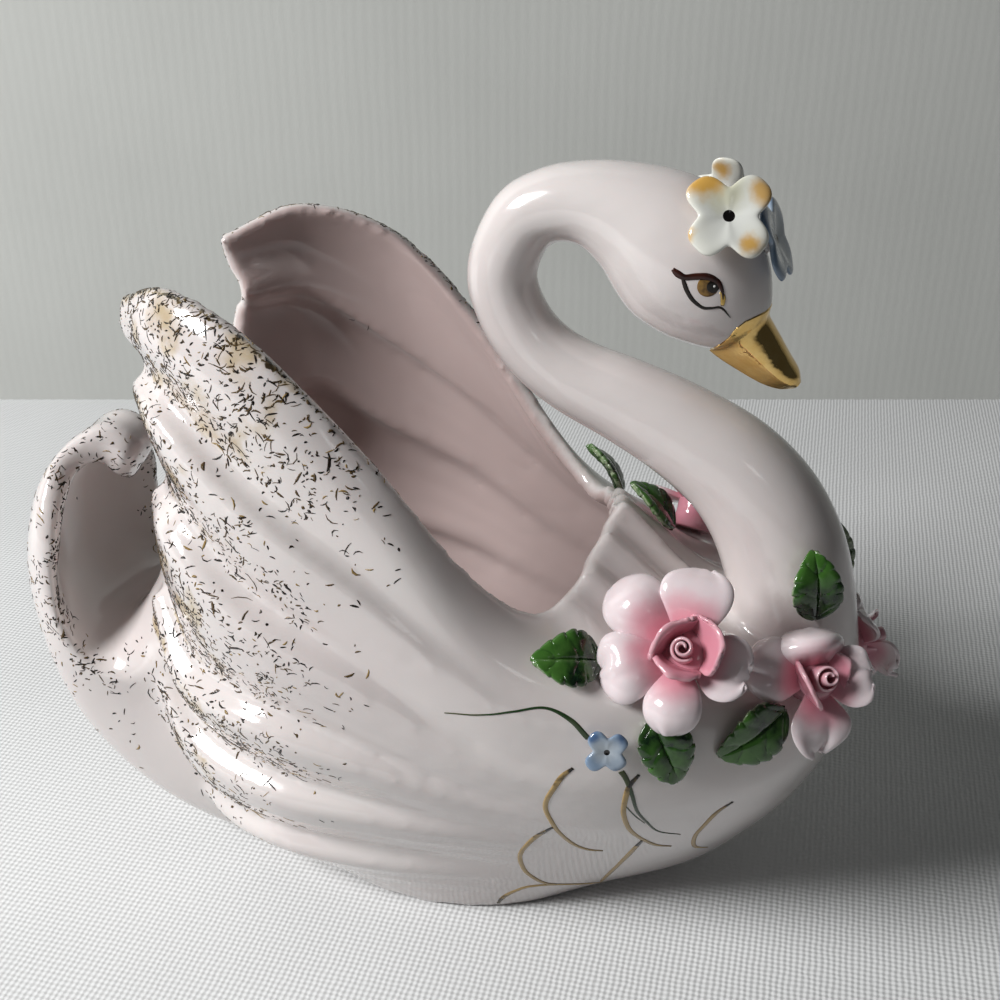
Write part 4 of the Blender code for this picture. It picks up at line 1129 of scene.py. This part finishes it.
def make_leaf(name, base, tip, facing, width, rows=64, columns=39):
    """Pointed leaf folded along its midrib, lowered until it all but touches the casting."""
    base, tip = Vector(base), Vector(tip)
    chance = np.random.default_rng(sum(map(ord, name)))
    way = (tip - base).normalized()
    across = way.cross(Vector(facing)).normalized()
    face = across.cross(way).normalized()
    part = np.linspace(0, 1, rows)[:, None]
    side = np.sin(0.5 * np.pi * np.linspace(-1, 1, columns))[None, :]
    cut = (part * LEAF_TEETH + 0.5 * (side > 0) + 0.3 * chance.random()) % 1.0
    tooth = 1 - 0.14 * cut ** 2 * smooth_step(0.1, 0.3, part) * smooth_step(1.0, 0.85, part)
    half = 0.5 * width * np.sin(np.pi * part ** 0.78) ** 0.72 * tooth + 0.1
    half = half * (1 + 0.1 * np.sin(4 * part + 5 * chance.random()) * np.sign(side))
    vein = np.abs((part * LEAF_VEINS - 0.7 * np.abs(side)) % 1.0 - 0.5) * 2
    level = LEAF_ARCH * np.sin(np.pi * part) + LEAF_FOLD * half * np.abs(side) ** 0.8
    level = level + 0.5 * np.sin(5 * part + 6 * chance.random()) * side * part
    level = level - 0.4 * np.exp(-(side / 0.1) ** 2) * smooth_step(1.0, 0.8, part)
    inner = np.clip(1 - side ** 6, 0, 1)
    level = level - 0.14 * smooth_step(0.6, 1.0, vein) * inner * smooth_step(1.0, 0.8, part)
    level = level - 0.5 * np.clip((np.abs(side) - 0.7) / 0.3, 0, 1) ** 2 * np.sin(np.pi * part)
    middle = np.array(base)[None, None, :] + np.array(tip - base)[None, None, :] * part[:, :, None]
    grid = middle + np.array(face) * level[:, :, None] + np.array(across) * (side * half)[:, :, None]
    points, faces = closed_sheet(grid, LEAF_THICKNESS, LEAF_LIP)
    gaps = []
    for point in points[::3]:
        distance = glaze.ray_cast(Vector(point) + face * LEAF_CLEARANCE, -face, 40.0)[3]
        if distance is not None:
            gaps.append(distance - LEAF_CLEARANCE)
    drop = min(gaps) - LEAF_GAP
    points = points - np.array(face) * drop
    along = np.broadcast_to(part, (rows, columns)).reshape(-1)
    edge = np.broadcast_to(np.abs(side), (rows, columns)).reshape(-1)
    veins = (smooth_step(0.8, 1.0, vein) * inner).reshape(-1)
    return solid(name + "_blade", points, faces, along=np.tile(along, 2), edge=np.tile(edge, 2),
                 vein=np.tile(veins, 2))


leaf_glaze, shader, tree = ceramic("leaf_glaze")
shader.inputs["Coat Weight"].default_value = LEAF_COAT
shader.inputs["Specular IOR Level"].default_value = LEAF_SHEEN
length = sums(tree, "MULTIPLY_ADD", use(tree, colour_cloud, Scale=200.0), 0.3, attribute(tree, "along"))
green = blend(tree, eased(tree, length, 0.5, 0.78), (0.004, 0.016, 0.006, 1), (0.04, 0.125, 0.018, 1))
light_part = sums(tree, "MULTIPLY", use(tree, colour_cloud, Scale=420.0), 0.5)
green = blend(tree, light_part, green, (0.075, 0.19, 0.035, 1))
green = blend(tree, sums(tree, "MULTIPLY", attribute(tree, "vein"), 0.5), green, (0.006, 0.025, 0.008, 1))
rim_part = eased(tree, attribute(tree, "edge"), 0.94, 1.0)
pale_edge = sums(tree, "MULTIPLY", rim_part, use(tree, colour_cloud, Scale=700.0))
green = blend(tree, pale_edge, green, (0.42, 0.50, 0.33, 1))
tree.links.new(green, shader.inputs["Base Color"])
for leaf_name, values in LEAVES.items():
    leaf = make_leaf(leaf_name, *values)
    leaf.data.shade_smooth()
    leaf.data.materials.append(leaf_glaze)
    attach(leaf, "root")
    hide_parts(leaf_name)

# The small flowers. Four-lobed blossoms cut from thin paste and dished: a blue one on the wing, a blue
# one at the brow and two white ones on the crown, each on a stub, with a black dot and tinted petal tips.
# A small flower is its glaze, its centre, the way it faces, its turn and its radius
FLOWERS = {
    "flower_wing": ("blue", (39.4, -41.6, 60.5), (0.25, -0.93, 0.25), 40, 4.2),
    "flower_crown": ("cream", (50.6, -9.0, 146.8), (0.2, -0.83, 0.52), 44, 8.0),
    "flower_brow": ("blue", (58.2, 0.0, 141.0), (0.92, -0.1, 0.36), 40, 8.0),
    "flower_crown_far": ("cream", (49.0, 8.9, 146.9), (0.1, 0.85, 0.52), 0, 7.0),
}
FLOWER_LOBES = 4
FLOWER_WAIST = 0.62
FLOWER_THICKNESS = 1.35
FLOWER_DISH = 0.16
STUB_RADIUS = 1.6
STUB_SIDES = 24
DOT_SHARE = 0.125


def make_flower(name, centre, facing, turn, radius, steps=26, around=160):
    """One blossom, dished and lobed, from its heart over the edge and back under to its heart."""
    place = frame_at(centre, facing, turn)
    angle = 2 * np.pi * np.arange(around) / around
    lobe = 1 - np.abs(np.sin(0.5 * FLOWER_LOBES * angle)) ** 4
    reach = radius * (FLOWER_WAIST + (1 - FLOWER_WAIST) * lobe) * (1 + 0.04 * np.sin(3 * angle + radius))
    share = np.sin(0.5 * np.pi * np.arange(1, steps + 1) / steps)
    rings, marks = [], []
    thick = 0.5 * min(FLOWER_THICKNESS, 0.26 * radius)
    for top in (1, -1):
        order = share if top == 1 else share[::-1][1:]
        for part in order:
            half = thick * math.sqrt(max(1 - part ** 8, 0.0))
            out = reach * part
            rise = FLOWER_DISH * out + 0.03 * radius * (1 - lobe) * part - 0.07 * radius * lobe * part ** 6
            ring = [place @ Vector((out[i] * math.cos(angle[i]), out[i] * math.sin(angle[i]),
                                    rise[i] + top * half - thick)) for i in range(around)]
            rings.append(ring)
            marks.append(np.column_stack([out * np.cos(angle), out * np.sin(angle)]) / radius)
    marks = np.vstack(marks)
    return solid(name + "_blossom", np.vstack(rings), tube_faces(len(rings), around),
                 right=marks[:, 0], above=marks[:, 1])


def squares(tree, first, second):
    """Sum of the squares of two values."""
    return sums(tree, "MULTIPLY_ADD", first, first, sums(tree, "MULTIPLY", second, second))


# A touch of colour at one place of a blossom, given in shares of its radius
petal_touch, taken, given = effect("petal_touch", {"Right": 0.0, "Above": 0.0, "Size": 0.3}, "Share")
right_part = sums(petal_touch, "SUBTRACT", attribute(petal_touch, "right"), taken.outputs["Right"])
above_part = sums(petal_touch, "SUBTRACT", attribute(petal_touch, "above"), taken.outputs["Above"])
apart = sums(petal_touch, "SQRT", squares(petal_touch, right_part, above_part), 0.0)
ragged = sums(petal_touch, "MULTIPLY_ADD", noise(petal_touch, 500.0), 0.3, apart)
ragged = sums(petal_touch, "DIVIDE", ragged, taken.outputs["Size"])
petal_touch.links.new(eased(petal_touch, ragged, 1.6, 0.7), given.inputs[0])


def flower_material(name, heart, tip, touches):
    """Blossom glaze that deepens outward, with brush touches of stain and a black dot at its heart."""
    made, shader, tree = ceramic(name)
    away = sums(tree, "SQRT", squares(tree, attribute(tree, "right"), attribute(tree, "above")), 0.0)
    outward = sums(tree, "MULTIPLY_ADD", use(tree, colour_cloud, Scale=300.0), 0.3, away)
    colour = blend(tree, eased(tree, outward, 0.35, 1.1), heart, tip)
    for across, above, size, strength, stain in touches:
        touch = use(tree, petal_touch, Right=across, Above=above, Size=size)
        colour = blend(tree, sums(tree, "MULTIPLY", touch, strength), colour, stain)
    dot = sums(tree, "LESS_THAN", away, DOT_SHARE)
    colour = blend(tree, dot, colour, (0.004, 0.003, 0.003, 1))
    tree.links.new(colour, shader.inputs["Base Color"])
    return made


ORANGE = (0.70, 0.40, 0.09, 1)
PALE_GREEN = (0.62, 0.60, 0.36, 1)
DEEP_BLUE = (0.05, 0.11, 0.24, 1)
blossom_glazes = {
    "blue": flower_material("blue_glaze", (0.46, 0.52, 0.58, 1), (0.20, 0.29, 0.42, 1),
                            [(0.0, 0.9, 0.34, 0.85, DEEP_BLUE), (0.9, 0.1, 0.3, 0.8, DEEP_BLUE),
                             (-0.2, -0.8, 0.2, 0.5, DEEP_BLUE)]),
    "cream": flower_material("cream_glaze", (0.84, 0.85, 0.80, 1), (0.84, 0.84, 0.76, 1),
                             [(0.3, 0.45, 0.5, 0.55, PALE_GREEN), (0.2, 0.95, 0.5, 1.0, ORANGE),
                              (0.85, -0.15, 0.38, 0.9, ORANGE), (-0.9, 0.35, 0.26, 0.8, ORANGE),
                              (-0.12, -0.72, 0.3, 0.95, ORANGE)]),
}
for flower_name, (colour, *values) in FLOWERS.items():
    blossom = make_flower(flower_name, *values)
    blossom.data.shade_smooth()
    blossom.data.materials.append(blossom_glazes[colour])
    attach(blossom, "root")
    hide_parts(flower_name)
    place = frame_at(values[0], values[1], values[2])
    depth = hub_depth(place, STUB_RADIUS)
    levels = [(-depth - 0.3, 2.1), (-0.6 * depth - 0.4, 1.7), (-0.7, STUB_RADIUS)]
    stub = lofted(flower_name + "_stub", round_rings(place, levels, STUB_SIDES))
    stub.data.shade_smooth()
    stub.data.materials.append(porcelain)
    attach(stub, "root")
    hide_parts(flower_name)

# The floor, the light and the camera. A white damask cloth runs back to a pale grey wall, lit from the
# front left by one window high up and a little by the room, seen from above the swan's near side.
CAMERA_PLACE = (0.06532, -0.22159, 0.20187)
CAMERA_TURN = 14.04
CAMERA_PITCH = 27.02
CAMERA_LENS = 46.8
WALL_DISTANCE = 0.485
BACKDROP_REACH = 2.5
DAYLIGHT = 0.045
turn, pitch = math.radians(CAMERA_TURN), math.radians(CAMERA_PITCH)
ahead = Vector((-math.sin(turn), math.cos(turn), 0))
right = Vector((math.cos(turn), math.sin(turn), 0))


def backdrop(name, corners, colour, bounce, scale, strength):
    """Flat sheet behind or under the piece, seen through from its back, that throws a share of its light."""
    first, second, third = corners[:3]
    if (second - first).cross(third - first).dot(Vector((0, 0, 0.1)) - first) < 0:
        corners = corners[::-1]
    mesh = bpy.data.meshes.new(name)
    mesh.from_pydata(corners, [], [(0, 1, 2, 3)])
    item = bpy.data.objects.new(name, mesh)
    bpy.context.scene.collection.objects.link(item)
    made, shader, tree = shader_material(name)
    dim = tuple(bounce * part for part in colour[:3]) + (1,)
    shaded = tuple(0.95 * part for part in colour[:3]) + (1,)
    shade = blend(tree, use(tree, colour_cloud, Scale=14.0), colour, shaded)
    rays = put(tree, "ShaderNodeLightPath").outputs
    mirrored_ray = sums(tree, "MAXIMUM", rays["Is Glossy Ray"], rays["Is Transmission Ray"])
    seen_ray = sums(tree, "MAXIMUM", rays["Is Camera Ray"], mirrored_ray)
    shade = blend(tree, seen_ray, dim, shade)
    tree.links.new(shade, shader.inputs["Base Color"])
    shader.inputs["Roughness"].default_value = 0.9
    place = put(tree, "ShaderNodeTexCoord").outputs["Object"]
    threads = {"Vector": place, "Scale": scale, "Distortion": 1.5, "Detail": 2.0}
    weave = [put(tree, "ShaderNodeTexWave", threads, bands_direction=axis).outputs["Fac"]
             for axis in ("X", "Y")]
    woven = put(tree, "ShaderNodeBump", {"Height": sums(tree, "ADD", *weave), "Strength": strength,
                                         "Distance": 0.0004}).outputs["Normal"]
    tree.links.new(woven, shader.inputs["Normal"])
    seen = put(tree, "ShaderNodeMixShader", {0: put(tree, "ShaderNodeNewGeometry").outputs["Backfacing"]})
    tree.links.new(shader.outputs[0], seen.inputs[1])
    tree.links.new(put(tree, "ShaderNodeBsdfTransparent").outputs[0], seen.inputs[2])
    tree.links.new(seen.outputs[0], tree.nodes["Material Output"].inputs["Surface"])
    mesh.materials.append(made)


foot = Vector((CAMERA_PLACE[0], CAMERA_PLACE[1], 0)) + ahead * WALL_DISTANCE
aside = right * BACKDROP_REACH
nearer = -ahead * BACKDROP_REACH
upward = Vector((0, 0, BACKDROP_REACH))
cloth_corners = [foot + aside + nearer, foot + aside, foot - aside, foot - aside + nearer]
wall_corners = [foot - aside, foot + aside, foot + aside + upward, foot - aside + upward]
backdrop("damask_cloth", cloth_corners, (0.86, 0.87, 0.87, 1), 0.55, 260.0, 0.3)
backdrop("room_wall", wall_corners, (0.64, 0.65, 0.62, 1), 0.33, 90.0, 0.05)

world = bpy.data.worlds.new("room")
bpy.context.scene.world = world
world.use_nodes = True
world.node_tree.nodes["Background"].inputs["Color"].default_value = (0.86, 0.9, 0.92, 1)
world.node_tree.nodes["Background"].inputs["Strength"].default_value = DAYLIGHT


def soft_lamp(name, place, aim, size, power):
    """Square lamp with soft shadows, turned to a point."""
    lamp = bpy.data.lights.new(name, "AREA")
    lamp.shape = "SQUARE"
    lamp.size = size
    lamp.energy = power
    item = bpy.data.objects.new(name, lamp)
    item.location = place
    item.rotation_mode = "QUATERNION"
    item.rotation_quaternion = (Vector(aim) - Vector(place)).to_track_quat("-Z", "Y")
    bpy.context.scene.collection.objects.link(item)


soft_lamp("window", (-0.76, -0.54, 0.72), (0, 0, 0.06), 0.36, 14.6)
soft_lamp("doorway", (0.5, -0.6, 0.45), (0, 0, 0.07), 0.1, 0.05)

back = Vector((math.sin(turn) * math.cos(pitch), -math.cos(turn) * math.cos(pitch), math.sin(pitch)))
view = bpy.data.cameras.new("view")
view.sensor_width = 36
view.lens = CAMERA_LENS
view.clip_start = 0.01
camera = bpy.data.objects.new("view", view)
aimed = Matrix((right, back.cross(right), back)).transposed().to_4x4()
camera.matrix_world = Matrix.Translation(CAMERA_PLACE) @ aimed
bpy.context.scene.collection.objects.link(camera)
bpy.context.scene.camera = camera
bpy.context.scene.view_settings.view_transform = "Standard"
